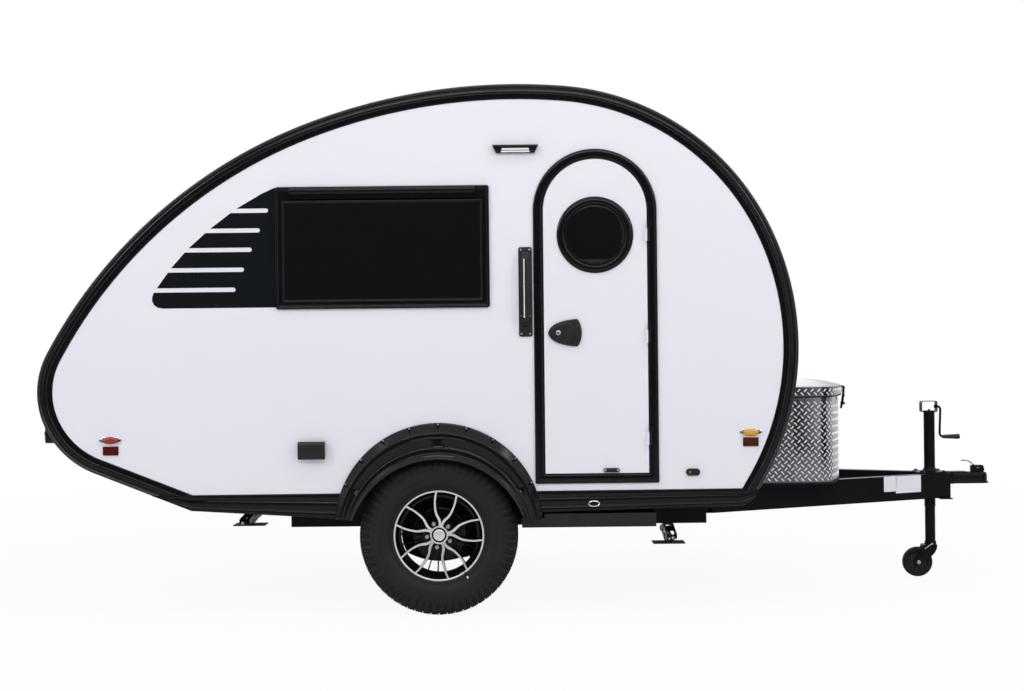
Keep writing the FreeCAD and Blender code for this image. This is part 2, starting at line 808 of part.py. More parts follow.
def tongue_rail():
    slope = math.tan(math.radians(tongue_angle))
    width = tongue_width / math.cos(math.radians(tongue_angle))

    def plan(x, out):
        return vec(x, -(tongue_gap_y + width - out) - (tongue_neck_x - x) * slope, tongue_bottom)

    def bar(inset, z):
        corners = [plan(tongue_rear_x, inset), plan(tongue_front_x, inset),
                   plan(tongue_front_x, width - inset), plan(tongue_rear_x, width - inset)]
        for corner in corners:
            corner.z = z[0]
        corners = [vec(c.x, min(c.y, -0.5), c.z) for c in corners]
        return Part.Face(Part.makePolygon(corners + corners[:1])).extrude(vec(0, 0, z[1] - z[0]))

    outer = bar(0, (tongue_bottom, floor_bottom))
    inner = bar(tube_wall / math.cos(math.radians(tongue_angle)),
                (tongue_bottom + tube_wall, floor_bottom - tube_wall))
    main_rail = box((axle_x, tongue_front_x), (-side_y, -rail_y + rail_width / 2), (0, floor_top))
    return outer.cut(inner).cut(main_rail)


def coupler():
    half = coupler_width / 2
    top = coupler_z + coupler_height / 2
    low = coupler_z - coupler_height / 2
    rear = tongue_front_x
    body = box((rear, front_x - coupler_nose), (-half, half), (low, top))
    nose_at = vec(front_x - coupler_nose, 0, low)
    nose = rod(coupler_nose, nose_at, nose_at + axis_z * coupler_height)
    ball = vec(front_x - coupler_nose, 0, coupler_z)
    socket = Part.makeSphere(ball_radius + ball_clearance, ball)
    mouth = rod(ball_radius + ball_clearance, nose_at, ball)
    block = box((rear + 123, rear + 188), (-lever_half, lever_half), (top, top + 22))
    lever = slab([(rear + 130, top + 22), (rear + 175, top + 22), (rear + 115, top + 44),
                  (rear + 80, top + 62), (rear + 75, top + 55)], (-lever_half / 2, lever_half / 2))
    return fused([fused([body, nose]).cut(socket).cut(mouth), block, lever])


def axle_beam():
    y = rail_y + rail_width / 2
    beam_x = axle_x + arm_length
    beam_z = rail_bottom - axle_tube / 2
    return tube((beam_x - axle_tube / 2, beam_x + axle_tube / 2), (-y, y),
                (beam_z - axle_tube / 2, rail_bottom))


# Step

def step_runners():
    """Rear faces of the two runners."""
    return step_x[0] + step_inset, step_x[1] - step_inset - runner_size


def step_runner(x):
    bottom = step_z[0] + step_skin
    return box((x, x + runner_size), (-side_y + wall, -rail_y), (bottom, bottom + runner_size))


def entry_step():
    x0, x1 = step_x
    low, top = step_z
    notch_x, notch_z = step_notch
    depth = (-side_y, -side_y + step_depth)
    edge = (-side_y, -side_y + step_edge)
    parts = [box((notch_x, x1), depth, (top - step_tread, top)), box((notch_x, x1), edge, (low, top)),
             box((x0, notch_x), depth, (notch_z - step_skin, notch_z)),
             box((x0, notch_x), edge, (low, notch_z))]
    for x in step_runners():
        high = notch_z if x < notch_x else top
        for near in (x - runner_gap - step_cheek, x + runner_size + runner_gap):
            parts.append(box((near, near + step_cheek), depth, (low, high)))
    return fused(parts)


# Front tub

def tub_outline(grow, z):
    """The tub's D-shaped plan, grown outward, as a face at height z."""
    half = tub_half_width + grow
    back, side_end, front = tub_back - grow, tub_side_end, tub_front + grow
    sides = Part.makePolygon([vec(side_end, half, z), vec(back, half, z),
                              vec(back, -half, z), vec(side_end, -half, z)])
    nose = Part.Arc(vec(side_end, -half, z), vec(front, 0, z), vec(side_end, half, z))
    return Part.Face(Part.Wire(sides.Edges + [nose.toShape()]))


def tub_nose_x(y):
    """How far forward the nose's arc lies at distance y from the middle."""
    rise = tub_front - tub_side_end
    radius = (tub_half_width ** 2 + rise ** 2) / (2 * rise)
    return tub_front - radius + math.sqrt(radius ** 2 - y ** 2)


def tub_block(grow, z):
    block = tub_outline(grow, z[0]).extrude(vec(0, 0, z[1] - z[0]))
    corners = [e for e in block.Edges if abs(e.tangentAt(e.FirstParameter).z) > 0.9
               and abs(e.BoundBox.XMin - tub_side_end) < 1]
    rear = [e for e in block.Edges if abs(e.tangentAt(e.FirstParameter).z) > 0.9
            and e.BoundBox.XMin < tub_side_end - 1]
    return block.makeFillet(tub_corner + grow, corners).makeFillet(tub_rear_corner + grow, rear)


def tub_hinge():
    """The lid's hinge axis, just inside the tub's raised back edge."""
    return vec(tub_back + lid_hinge_radius, 0, tub_bottom + tub_height + lid_hinge_rise)


def tub_knuckle(y, on_lid):
    axis = tub_hinge()
    barrel = rod(lid_hinge_radius, axis + axis_y * y[0], axis + axis_y * y[1])
    underside = tub_bottom + tub_height + lid_lift + lid_rim - tub_wall
    reach = (axis.z, underside + 1) if on_lid else (axis.z - lid_hinge_rise / 2, axis.z)
    depth = (axis.x - 2, axis.x + 2) if on_lid else (tub_back, tub_back + tub_wall)
    return fused([barrel, box(depth, y, reach)])


def tub_knuckles(on_lid):
    """Places of the lid's two knuckles, or of the tub's three, along the hinge."""
    span, gap = lid_hinge_half / 5, knuckle_gap / 2
    starts = (-3, 1) if on_lid else (-5, -1, 3)
    return [tub_knuckle((k * span + gap, (k + 2) * span - gap), on_lid) for k in starts]


def front_tub():
    top = tub_bottom + tub_height
    body = tub_block(0, (tub_bottom, top))
    body = body.cut(tub_block(-tub_wall, (tub_bottom + tub_wall, top + lid_lift)))
    back_edge = box((tub_back, tub_back + tub_wall), (-lid_hinge_half, lid_hinge_half),
                    (top - lid_rim, tub_hinge().z - lid_hinge_radius - 5))
    return fused([body, back_edge] + tub_knuckles(False))


def tub_lid():
    bottom = tub_bottom + tub_height + lid_lift
    top = bottom + lid_rim
    cap = tub_block(lid_gap + tub_wall, (bottom, top))
    crown = tub_block(lid_gap + tub_wall, (top, top + lid_crown))
    upper = [e for e in crown.Edges if e.BoundBox.ZMin > top + lid_crown - 1]
    crown = crown.makeChamfer(lid_crown - 2, upper)
    hollow = tub_block(lid_gap, (bottom - lid_lift, top - tub_wall))
    half, drop, thick = lid_latch
    nose = tub_nose_x(latch_y)
    latches = [box((nose - 20, nose + thick), (y - half, y + half), (bottom - drop, top - 8))
               for y in (-latch_y, latch_y)]
    solid = tub_block(lid_gap, (bottom - 2 * drop, top))
    latches = [latch.cut(solid) for latch in latches]
    back = box((tub_back - 40, tub_back + 30), (-lid_hinge_half - 15, lid_hinge_half + 15),
               (bottom - lid_lift, top - tub_wall))
    return fused([cap.fuse(crown).cut(hollow).cut(back)] + latches + tub_knuckles(True))


# Tongue jack

def jack_tube():
    outer = pipe(jack_tube_radius, ram_radius + ram_clearance, vec(jack_x, 0, jack_tube_bottom),
                 vec(jack_x, 0, jack_top))
    length, width, thick = jack_plate
    cap = rod(jack_tube_radius + 3, vec(jack_x, 0, jack_top), vec(jack_x, 0, jack_top + thick))
    plate = box((jack_x - length / 2, jack_x + length / 2), (-width / 2, width / 2),
                (floor_bottom, floor_bottom + thick))
    plate = plate.cut(rod(jack_tube_radius, vec(jack_x, 0, 0), vec(jack_x, 0, jack_top)))
    ends, top = jack_bracket[0], jack_top + jack_bracket[1]
    head = box((jack_x + ends[0], jack_x + ends[1]), (-bracket_half, bracket_half),
               (jack_top + bracket_wall, top))
    space = box((jack_x + ends[0] + bracket_wall, jack_x + ends[1] - bracket_wall), (-side_y, side_y),
                (jack_top + 3 * bracket_wall, top - bracket_wall))
    return fused([outer, cap, plate, head.cut(space)])


def jack_ram():
    return rod(ram_radius, vec(jack_x, 0, ram_bottom), vec(jack_x, 0, jack_top - ram_head_room))


def caster_axle():
    return vec(jack_x - caster_trail, 0, caster_radius)


def caster_fork():
    axle = caster_axle()
    top = ram_bottom - fork_gap
    half = fork_inner + fork_plate
    parts = [box((jack_x - 45, jack_x + 32), (-half, half), (top - 2 * fork_plate, top))]
    for y in (-half, fork_inner):
        outline = [(jack_x - 40, top - 4), (jack_x + 30, top - 4), (axle.x + 20, axle.z - 12),
                   (axle.x - 20, axle.z - 12)]
        parts.append(slab(outline, (y, y + fork_plate)))
    parts.append(rod(caster_axle_radius, axle - axis_y * (half + 6), axle + axis_y * (half + 6)))
    return fused(parts)


def caster_wheel():
    axle = caster_axle()
    half = caster_width / 2
    wheel = rod(caster_radius, axle - axis_y * half, axle + axis_y * half)
    wheel = wheel.makeFillet(0.2 * caster_width, wheel.Edges[0:1] + wheel.Edges[2:3])
    bore = caster_axle_radius + pivot_clearance
    return wheel.cut(rod(bore, axle - axis_y * caster_width, axle + axis_y * caster_width))


def jack_crank():
    r = crank_radius
    start = vec(jack_x + jack_bracket[0][1], 0, jack_top + jack_bracket[1] / 2)
    elbow = start + axis_x * 20
    bottom = elbow - axis_z * crank_drop
    grip = bottom + axis_x * r
    return fused([rod(r, start, elbow + axis_x * r), rod(r, elbow + axis_z * r, bottom - axis_z * r),
                  rod(r, bottom - axis_x * r, grip), rod(grip_radius, grip, grip + axis_x * crank_reach)])


# Wheels, made on the door side and mirrored

def profile_face(points):
    """A face in the XY plane through the axle, from (radius, y) points."""
    corners = [vec(axle_x + r, y, tyre_radius) for r, y in points]
    return Part.Face(Part.makePolygon(corners + corners[:1]))


def wheel_turn(face):
    return face.revolve(vec(axle_x, 0, tyre_radius), axis_y, 360)


def tyre():
    middle = -(tyre_outer_y + tyre_inner_y) / 2
    bead = rim_width / 2 - rim_metal
    half = tyre_width / 2
    # Columns: radius, distance from the tyre's middle plane
    quarter = [(rim_seat, bead), (rim_radius + 12, bead), (rim_radius + tyre_bulge, half - 4),
               (rim_radius + 75, half), (tyre_radius - tyre_shoulder, half - 6),
               (tyre_radius - 12, half - 22), (tyre_radius, half - 42)]
    section = [(r, middle - out) for r, out in quarter]
    section += [(r, middle + out) for r, out in reversed(quarter)]
    return wheel_turn(profile_face(section))


def wheel_rim():
    outer, inner = -rim_outer_y, -rim_outer_y + rim_width
    face_y = outer + disc_setback
    foot = rim_seat - rim_metal
    barrel = wheel_turn(profile_face([
        (foot, outer), (rim_radius, outer), (rim_radius, outer + rim_metal), (rim_seat, outer + rim_metal),
        (rim_seat, inner - rim_metal), (rim_radius, inner - rim_metal), (rim_radius, inner), (foot, inner)]))

    def at(y):
        return vec(axle_x, y, tyre_radius)

    disc = pipe(rim_seat - rim_metal / 2, hub_bore, at(face_y), at(face_y + disc_thickness))
    window_middle = (hub_radius + rim_seat) / 2 + 12
    window_radius = 0.31 * (rim_seat - hub_radius) - 7
    for k in range(window_count):
        angle = 2 * math.pi * (k + 0.5) / window_count
        hole = at(face_y - 10) + vec(math.cos(angle), 0, math.sin(angle)) * window_middle
        disc = disc.cut(rod(window_radius, hole, hole + axis_y * (2 * disc_thickness)))
    drum_y = face_y + disc_thickness
    drum = rod(drum_radius, at(drum_y), at(drum_y + drum_depth))
    drum = drum.cut(rod(drum_radius - drum_wall, at(drum_y + drum_wall), at(drum_y + drum_depth)))
    boss = rod(boss_radius, at(drum_y), at(drum_y + drum_depth - 10))
    cap = rod(hub_bore, at(face_y - cap_height), at(drum_y))
    parts = [barrel, disc, drum.fuse(boss), cap]
    for k in range(nut_count):
        angle = 2 * math.pi * k / nut_count + math.pi / 2
        stud = at(face_y) + vec(math.cos(angle), 0, math.sin(angle)) * (stud_circle / 2)
        parts.append(rod(nut_radius, stud, stud - axis_y * nut_length))
    bore = rod(spindle_radius + bearing_clearance, at(drum_y - spindle_reach - 1), at(drum_y + drum_depth))
    return fused(parts).cut(bore)


def axle_group():
    """Trailing arms and spindles that carry the wheels, with the cross beam."""
    beam_x, beam_z = axle_x + arm_length, rail_bottom - axle_tube / 2
    drum_outer = rim_outer_y - disc_setback - disc_thickness
    arm_y = (-tyre_inner_y + arm_gap, -tyre_inner_y + arm_gap + arm_thickness)

    def beam_at(y):
        return vec(beam_x, y, beam_z)

    def hub_at(y):
        return vec(axle_x, y, tyre_radius)

    bar = slab([(beam_x, beam_z - arm_half), (beam_x, beam_z + arm_half),
                (axle_x, tyre_radius + arm_half), (axle_x, tyre_radius - arm_half)], arm_y)
    plate_y = drum_depth - drum_outer + 3
    side = fused([
        bar,
        rod(arm_half + 2, beam_at(arm_y[0]), beam_at(arm_y[1])),
        rod(arm_half + 2, hub_at(arm_y[0]), hub_at(arm_y[1])),
        rod(axle_tube / 2 - tube_wall, beam_at(arm_y[0]), beam_at(-rail_y)),
        rod(spindle_radius, hub_at(-drum_outer - spindle_reach), hub_at(arm_y[0])),
        rod(drum_radius - 12, hub_at(plate_y), hub_at(plate_y + drum_wall)),
        rod(arm_half + 6, hub_at(plate_y), hub_at(arm_y[0]))])
    return fused([axle_beam()] + side.Solids + mirrored(side).Solids)


# Corner stabilizers

def link_bar(start, end, plane, web_side, holes):
    """Two cheeks with a web between them, from one pivot to the next; web_side is 1 above, -1 below."""
    along = (end - start).normalize()
    square = axis_x.cross(along)
    if square.z * web_side < 0:
        square = square * -1

    def strip(points, low, width):
        corners = [p + axis_x * low for p in points]
        return Part.Face(Part.makePolygon(corners + corners[:1])).extrude(axis_x * width)

    parts = []
    for side in (-1, 1):
        low = side * plane - link_plate / 2
        parts += [rod(link_radius, p + axis_x * low, p + axis_x * (low + link_plate)) for p in (start, end)]
        parts.append(strip([start + square * link_radius, end + square * link_radius,
                            end - square * link_radius, start - square * link_radius], low, link_plate))
    a, b = start + along * (0.28 * link), start + along * (0.72 * link)
    parts.append(strip([a + square * (link_radius - 1), b + square * (link_radius - 1),
                        b + square * (link_radius + 2), a + square * (link_radius + 2)], -plane, 2 * plane))
    bar = fused(parts)
    for hole in holes:
        bar = bar.cut(rod(pivot_radius + pivot_clearance, hole - axis_x * 60, hole + axis_x * 60))
    return bar


def stabilizer(name, x, side, head_z, angle):
    """The six moving pieces of one stabilizer: four links, the screw and the foot."""
    upper_z, side_z, lower_z, reach = stabilizer_pivots(head_z, angle)
    y0 = side * stabilizer_y
    for hand, word in ((-side, "inner"), (side, "outer")):
        top = vec(x, y0 + hand * pivot_half, upper_z)
        middle = vec(x, y0 + hand * reach, side_z)
        low = vec(x, y0 + hand * pivot_half, lower_z)
        if word == "inner":
            upper = link_bar(top, middle, upper_cheek, 1, [top, middle])
        else:
            pins = stub_pins(middle, lower_cheek - 2, upper_cheek - link_plate)
            upper = fused([link_bar(top, middle, upper_cheek, 1, [top])] + pins)
        save("stabilizer_" + name + "_upper_" + word, upper)
        save("stabilizer_" + name + "_lower_" + word, link_bar(low, middle, lower_cheek, -1, [low, middle]))
    inner = vec(x, y0 - side * reach, side_z)
    outer = vec(x, y0 + side * reach, side_z)
    screw = rod(screw_radius, inner - axis_y * (side * screw_tail), outer + axis_y * (side * screw_extra))
    reach = lower_cheek - link_plate
    block = rod(screw_block, inner - axis_x * reach, inner + axis_x * reach)
    save("stabilizer_" + name + "_screw", fused([screw, block] + stub_pins(inner, reach, upper_cheek)))
    width, depth, thick = foot_size
    bottom = lower_z - foot_drop
    parts = [box((x - width / 2, x + width / 2), (y0 - depth / 2, y0 + depth / 2), (bottom, bottom + thick))]
    for end in (-1, 1):
        at = x + end * ear_plane
        parts.append(box((at - link_plate / 2, at + link_plate / 2), (y0 - 24, y0 + 24),
                         (bottom, lower_z + 7)))
    for hand in (-1, 1):
        parts += stub_pins(vec(x, y0 + hand * pivot_half, lower_z), ear_plane, lower_cheek)
    save("stabilizer_" + name + "_foot", fused(parts))


def build():
    os.makedirs("parts", exist_ok=True)
    plain_side = side_panel()
    save("side_panel_right", plain_side.cut(door_arch(door_lap, (-side_y, -inner_y))))
    save("side_panel_left", mirrored(plain_side))
    save("roof_shell", roof_shell())
    save("floor_panel", floor_panel())
    save("edge_trims", pair(edge_trim()))
    save("side_skirts", pair(side_skirt()))
    save("fender_flares", pair(fender_flare()))
    save("wheel_wells", pair(wheel_well()))
    save("door_frame", door_frame())
    save("door_leaf", door_leaf())
    save("door_porthole", door_porthole())
    save("door_latch", door_latch())
    save("window_frames", window_frames())
    save("window_panes", window_panes())
    save("rear_hatch", rear_hatch())
    save("roof_vent_base", roof_vent_base())
    save("roof_vent_lid", roof_vent_lid())
    save("marker_lamps", marker_lamps())
    save("tail_lamps", tail_lamps())
    save("wall_fittings", wall_fittings())
    save("chassis_frame", chassis_frame())
    save("tongue_rails", pair(tongue_rail()))
    save("coupler", coupler())
    save("axle_beam", axle_group())
    save("entry_step", entry_step())
    save("front_tub", front_tub())
    save("tub_lid", tub_lid())
    save("jack_tube", jack_tube())
    save("jack_ram", jack_ram())
    save("caster_fork", caster_fork())
    save("caster_wheel", caster_wheel())
    save("jack_crank", jack_crank())
    save("tyre_right", tyre())
    save("tyre_left", mirrored(tyre()))
    save("wheel_right", wheel_rim())
    save("wheel_left", mirrored(wheel_rim()))
    for row in stabilizers:
        stabilizer(*row)


build()
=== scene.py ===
import bmesh
import bpy
import numpy as np
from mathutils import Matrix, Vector


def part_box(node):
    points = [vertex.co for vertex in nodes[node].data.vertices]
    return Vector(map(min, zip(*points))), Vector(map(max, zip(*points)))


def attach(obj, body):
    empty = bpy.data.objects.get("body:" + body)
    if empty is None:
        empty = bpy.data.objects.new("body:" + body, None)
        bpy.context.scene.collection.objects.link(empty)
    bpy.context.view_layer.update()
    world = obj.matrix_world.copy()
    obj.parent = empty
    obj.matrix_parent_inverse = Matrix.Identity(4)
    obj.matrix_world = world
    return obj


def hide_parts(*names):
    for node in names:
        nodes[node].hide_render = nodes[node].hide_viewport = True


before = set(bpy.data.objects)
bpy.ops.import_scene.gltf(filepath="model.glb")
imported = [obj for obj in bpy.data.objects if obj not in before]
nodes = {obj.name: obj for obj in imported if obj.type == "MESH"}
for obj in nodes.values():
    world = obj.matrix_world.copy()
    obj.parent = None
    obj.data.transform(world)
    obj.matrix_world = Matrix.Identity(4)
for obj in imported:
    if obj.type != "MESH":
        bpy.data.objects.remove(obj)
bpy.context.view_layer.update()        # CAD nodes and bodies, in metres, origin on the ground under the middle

mm = 0.001
weld = 0.02 * mm         # points closer than this are one
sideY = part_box("side_panel_right")[0].y      # outer face of the door side wall
quarterTurn = np.pi / 2


# Shapes are (points, faces): an n by 3 array and a list of index arrays

def gridFaces(rows, columns, wrapRows, wrapColumns):
    # quad (r, c) joins rows r and r + 1 to columns c and c + 1, wrapping where asked
    r, c = np.meshgrid(np.arange(rows - (not wrapRows)), np.arange(columns - (not wrapColumns)),
                       indexing="ij")
    right, below = (c + 1) % columns, (r + 1) % rows
    corners = [r * columns + c, r * columns + right, below * columns + right, below * columns + c]
    return np.stack(corners, -1).reshape(-1, 4)


def skinOf(grid, wrapRows=False, wrapColumns=True, caps=True):
    # surface point = grid[row][column]; the first and last rows close as flat caps
    grid = np.asarray(grid)
    rows, columns = grid.shape[:2]
    faces = [gridFaces(rows, columns, wrapRows, wrapColumns)]
    if caps and not wrapRows:
        faces += [np.arange(columns)[None], np.arange((rows - 1) * columns, rows * columns)[None]]
    return grid.reshape(-1, 3), faces


def gridOf(x, y, z):
    # points from x, y and z, each spread to the same rows and columns
    return np.stack(np.broadcast_arrays(x, y, z), -1)


def surface(x, y, z):
    return skinOf(gridOf(x, y, z))


def joined(shapes):
    points, faces, first = [], [], 0
    for shapePoints, shapeFaces in shapes:
        points.append(shapePoints)
        faces += [block + first for block in shapeFaces]
        first += len(shapePoints)
    return np.concatenate(points), faces


def mirrored(shape):
    # y changes sign
    return shape[0] * [1, -1, 1], shape[1]


def bothSides(shapes):
    return list(shapes) + [mirrored(shape) for shape in shapes]


def unit(vectors):
    # each vector divided by its length
    return vectors / np.linalg.norm(vectors, axis=-1, keepdims=True)


def heading(path):
    # direction of travel at each point of a path
    return unit(np.gradient(path, axis=0))


def distances(line):
    # how far along the line each of its points is
    return np.concatenate([[0], np.cumsum(np.linalg.norm(np.diff(line, axis=0), axis=1))])


def onCircle(angle):
    # (cos, sin) pairs, one for each angle
    return np.stack([np.cos(angle), np.sin(angle)], -1)


def fullTurn(steps):
    return np.linspace(0, 2 * np.pi, steps, endpoint=False)


def squareTo(direction, guide=(0.3, 0.5, 0.8)):
    # a direction, and two more at right angles to it
    direction = unit(np.array(direction, float))
    side = unit(np.cross(direction, guide))
    return direction, side, np.cross(direction, side)


def lathe(profile, centre, steps=96, wrap=False, axis="y"):
    # point = centre + radius * (cos a, sin a) across the axis + reach along it
    angle = fullTurn(steps)
    radius, reach = np.array(profile, float).T[:, :, None]
    c, s = radius * np.cos(angle), radius * np.sin(angle)
    order = {"y": (c, reach, s), "x": (reach, c, s), "z": (c, s, reach)}[axis]
    return skinOf(gridOf(*order) + centre, wrapRows=wrap, caps=not wrap)


def tube(path, radius, steps=16):
    # ring at each path point, in the plane across the path, radius constant or one per point
    path = np.array(path, float)
    ahead = heading(path)
    guide = np.eye(3)[np.argmin(np.abs(ahead).max(0))]
    side = unit(np.cross(ahead, guide))
    over = np.cross(ahead, side)
    reach = np.broadcast_to(np.array(radius, float), len(path))[:, None, None]
    return skinOf(path[:, None] + reach * (onCircle(fullTurn(steps)) @ np.stack([side, over], 1)))


def turnedAbout(centre, steps, axis="y", outward=1):
    # lathe for (radius, reach) profiles in mm round one centre
    def turned(profile, wrap=False, steps=steps):
        return lathe(np.array(profile, float) * [mm, outward * mm], centre, steps, wrap, axis)
    return turned


def roundedOutline(width, height, corner, steps=6, between=0):
    # four quarter circles joined by straight sides with that many points between, anticlockwise
    corner = min(corner, width / 2 - 1e-5, height / 2 - 1e-5)
    angle = np.linspace(0, quarterTurn, steps + 1)
    turns = angle + quarterTurn * np.arange(4)[:, None]
    signs = np.array([[1, 1], [-1, 1], [-1, -1], [1, -1]])[:, None]
    middles = signs * [width / 2 - corner, height / 2 - corner]
    arcs = middles + corner * onCircle(turns)
    share = np.linspace(0, 1, between + 2)[1:-1, None]
    ahead = np.roll(arcs[:, :1], -1, axis=0)
    return np.concatenate([arcs, arcs[:, -1:] + share * (ahead - arcs[:, -1:])], 1).reshape(-1, 2)


def onWall(x, z):
    # (across, up, out) measured from a point of the door side wall
    return lambda flat, out: gridOf(x + flat[..., 0], sideY - out, z + flat[..., 1])


def raised(outline, profile, place, loop=False):
    # stack of outlines: profile rows are (inset, height) in mm, place turns them into space
    rings = [place(outline(inset), height) for inset, height in np.array(profile) * mm]
    return skinOf(rings, wrapRows=loop)


def framed(outline, profile, place):
    # the same, but the profile is a closed loop, which leaves the middle open
    return raised(outline, profile, place, True)


def plate(width, height, corner, profile, place, steps=6, between=0, build=raised):
    # rounded rectangle drawn in by each inset of the profile, corners shrinking with it
    return build(lambda inset: roundedOutline(width - 2 * inset, height - 2 * inset,
                                              max(corner - inset, 0.0004), steps, between), profile, place)


def slab(outline, cuts, middle=None):
    # upright (x, z) outline at each cut's y, drawn in to its middle by the cut's share
    outline = np.array(outline, float)
    middle = outline.mean(0) if middle is None else middle
    rows = []
    for y, share in cuts:
        flat = middle + (outline - middle) * share
        rows.append(gridOf(flat[:, 0], y, flat[:, 1]))
    return skinOf(rows)


def smoothCurve(points, count, closed=False):
    # cubic through the points, each slope taken from its two neighbours
    points = np.array(points, float)
    if closed:
        share = np.arange(count) * len(points) / count
        padded = points[np.arange(-1, len(points) + 2) % len(points)]
    else:
        share = np.linspace(0, len(points) - 1, count)
        padded = np.concatenate([[2 * points[0] - points[1]], points, [2 * points[-1] - points[-2]]])
    at = np.minimum(share.astype(int), len(padded) - 4)
    t = (share - at)[:, None]
    before, here, after, beyond = [padded[at + k] for k in range(4)]
    return 0.5 * (2 * here + (after - before) * t + (2 * before - 5 * here + 4 * after - beyond) * t ** 2
                  + (3 * here - before - 3 * after + beyond) * t ** 3)


def ovalSection(half, thick, steps=20, square=2.6):
    # superellipse |a / half|^n + |b / thick|^n = 1
    angle = fullTurn(steps)
    c, s = np.cos(angle), np.sin(angle)
    return np.stack([half * np.sign(c) * np.abs(c) ** (2 / square),
                     thick * np.sign(s) * np.abs(s) ** (2 / square)], -1)


def sweptBand(path, section, width, aside=0):
    # upright (x, z) path carrying a (sideways, across) section, widened along the way
    ahead = heading(path)
    spot = path[:, None] + section[None, :, 1:] * np.stack([-ahead[:, 1], ahead[:, 0]], -1)[:, None]
    return surface(spot[..., 0], section[None, :, 0] * width[:, None] + aside, spot[..., 1])


def radialRib(centre, angle, sections):
    # bar leading out from a hub: sections of (distance, corners as (aside, along the axle)) in mm
    along, aside = onCircle(np.array([angle, angle + quarterTurn]))
    rows = []
    for reach, corners in sections:
        corners = np.array(corners) * mm
        flat = along * reach * mm + aside * corners[:, :1]
        rows.append(centre + np.column_stack([flat[:, 0], corners[:, 1], flat[:, 1]]))
    return skinOf(rows)


def softBox(low, high, bevel=0.002, corner=None, axis=2):
    # a box with rounded edges: outline across one axis, stacked along it with a quarter-round rim
    low, high = np.array(low, float), np.array(high, float)
    middle, size = (low + high) / 2, high - low
    across = [(1, 2), (2, 0), (0, 1)][axis]
    corner = bevel if corner is None else corner
    turn = np.linspace(0, quarterTurn, 4)
    rim = np.stack([bevel * (1 - np.sin(turn)), bevel * (1 - np.cos(turn))], -1)
    profile = np.concatenate([rim, [[0, size[axis]]] - rim[::-1] * [-1, 1]])
    rings = []
    for inset, reach in profile:
        flat = roundedOutline(size[across[0]] - 2 * inset, size[across[1]] - 2 * inset,
                              max(corner - inset, 0.0004), 4)
        ring = np.empty((len(flat), 3))
        ring[:, across[0]] = middle[across[0]] + flat[:, 0]
        ring[:, across[1]] = middle[across[1]] + flat[:, 1]
        ring[:, axis] = low[axis] + reach
        rings.append(ring)
    return skinOf(rings)


def dome(centre, radius, height, direction=(0, -1, 0), steps=14):
    # a low screw head: sphere cap of that radius and height, closed underneath
    direction, side, over = squareTo(direction)
    rise = np.linspace(0, quarterTurn, 5)
    ring = onCircle(fullTurn(steps)) @ np.stack([side, over])
    grid = radius * np.cos(rise)[:, None, None] * ring + height * np.sin(rise)[:, None, None] * direction
    return skinOf(grid + np.array(centre, float))


def inScene(name, data):
    thing = bpy.data.objects.new(name, data)
    bpy.context.scene.collection.objects.link(thing)
    return thing


def makePiece(name, layers, body, replaced=(), crease=34):
    # one mesh object from (material, shapes) layers; its doubles are merged, its shells face outward
    points, faces, marks, first = [], [], [], 0
    for mark, (material, shapes) in enumerate(layers):
        shapePoints, shapeFaces = joined(shapes)
        points.append(shapePoints)
        for block in shapeFaces:
            faces += (block + first).tolist()
            marks += [mark] * len(block)
        first += len(shapePoints)
    mesh = bpy.data.meshes.new(name)
    mesh.from_pydata(np.concatenate(points).tolist(), [], faces)
    mesh.polygons.foreach_set("material_index", np.array(marks, np.int32))
    for material, shapes in layers:
        mesh.materials.append(material)
    work = bmesh.new()
    work.from_mesh(mesh)
    bmesh.ops.remove_doubles(work, verts=work.verts, dist=weld)
    bmesh.ops.recalc_face_normals(work, faces=work.faces)
    work.to_mesh(mesh)
    work.free()
    mesh.shade_smooth()
    mesh.set_sharp_from_angle(angle=np.radians(crease))
    piece = inScene(name, mesh)
    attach(piece, body)
    if replaced:
        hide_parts(*replaced)
    return piece


# Finishes

def toLinear(hexColour):
    # sRGB to linear: c / 12.92 below 0.04045, else ((c + 0.055) / 1.055) ^ 2.4
    channels = np.array([int(hexColour[k:k + 2], 16) for k in (1, 3, 5)]) / 255
    return (*np.where(channels < 0.04045, channels / 12.92, ((channels + 0.055) / 1.055) ** 2.4), 1.0)


def addNode(tree, kind, settings=None, links=None):
    node = tree.nodes.new("ShaderNode" + kind)
    for key, value in (settings or {}).items():
        if isinstance(key, int) or key in node.inputs:
            node.inputs[key].default_value = value
        else:
            setattr(node, key, value)
    for key, source in (links or {}).items():
        tree.links.new(source, node.inputs[key])
    return node


def emptyFinish(name):
    material = bpy.data.materials.new(name)
    material.use_nodes = True
    material.node_tree.nodes.clear()
    return material, material.node_tree


def startFinish(name, colour, shader):
    material, tree = emptyFinish(name)
    coating = addNode(tree, "BsdfPrincipled", {"Base Color": toLinear(colour), **shader})
    addNode(tree, "OutputMaterial", links={"Surface": coating.outputs[0]})
    place = addNode(tree, "TexCoord").outputs["Object"]
    return material, tree, coating, place


def noise(tree, place, size, detail):
    # size in mm
    return addNode(tree, "TexNoise", {"Scale": 1 / (size * mm), "Detail": detail},
                   {"Vector": place}).outputs[0]


def addRelief(tree, coating, height, depth, strength=1.0):
    relief = addNode(tree, "Bump", {"Strength": strength, "Distance": depth * mm},
                     {"Height": height})
    tree.links.new(relief.outputs[0], coating.inputs["Normal"])


def addTwoTone(tree, coating, share, first, second):
    mixed = addNode(tree, "Mix", {"data_type": "RGBA", 6: toLinear(first), 7: toLinear(second)},
                    {0: share})
    tree.links.new(mixed.outputs[2], coating.inputs["Base Color"])


def resin(roughness, ior, level):
    return {"Roughness": roughness, "IOR": ior, "Specular IOR Level": level}


def metal(roughness, amount=1.0):
    return {"Metallic": amount, "Roughness": roughness}


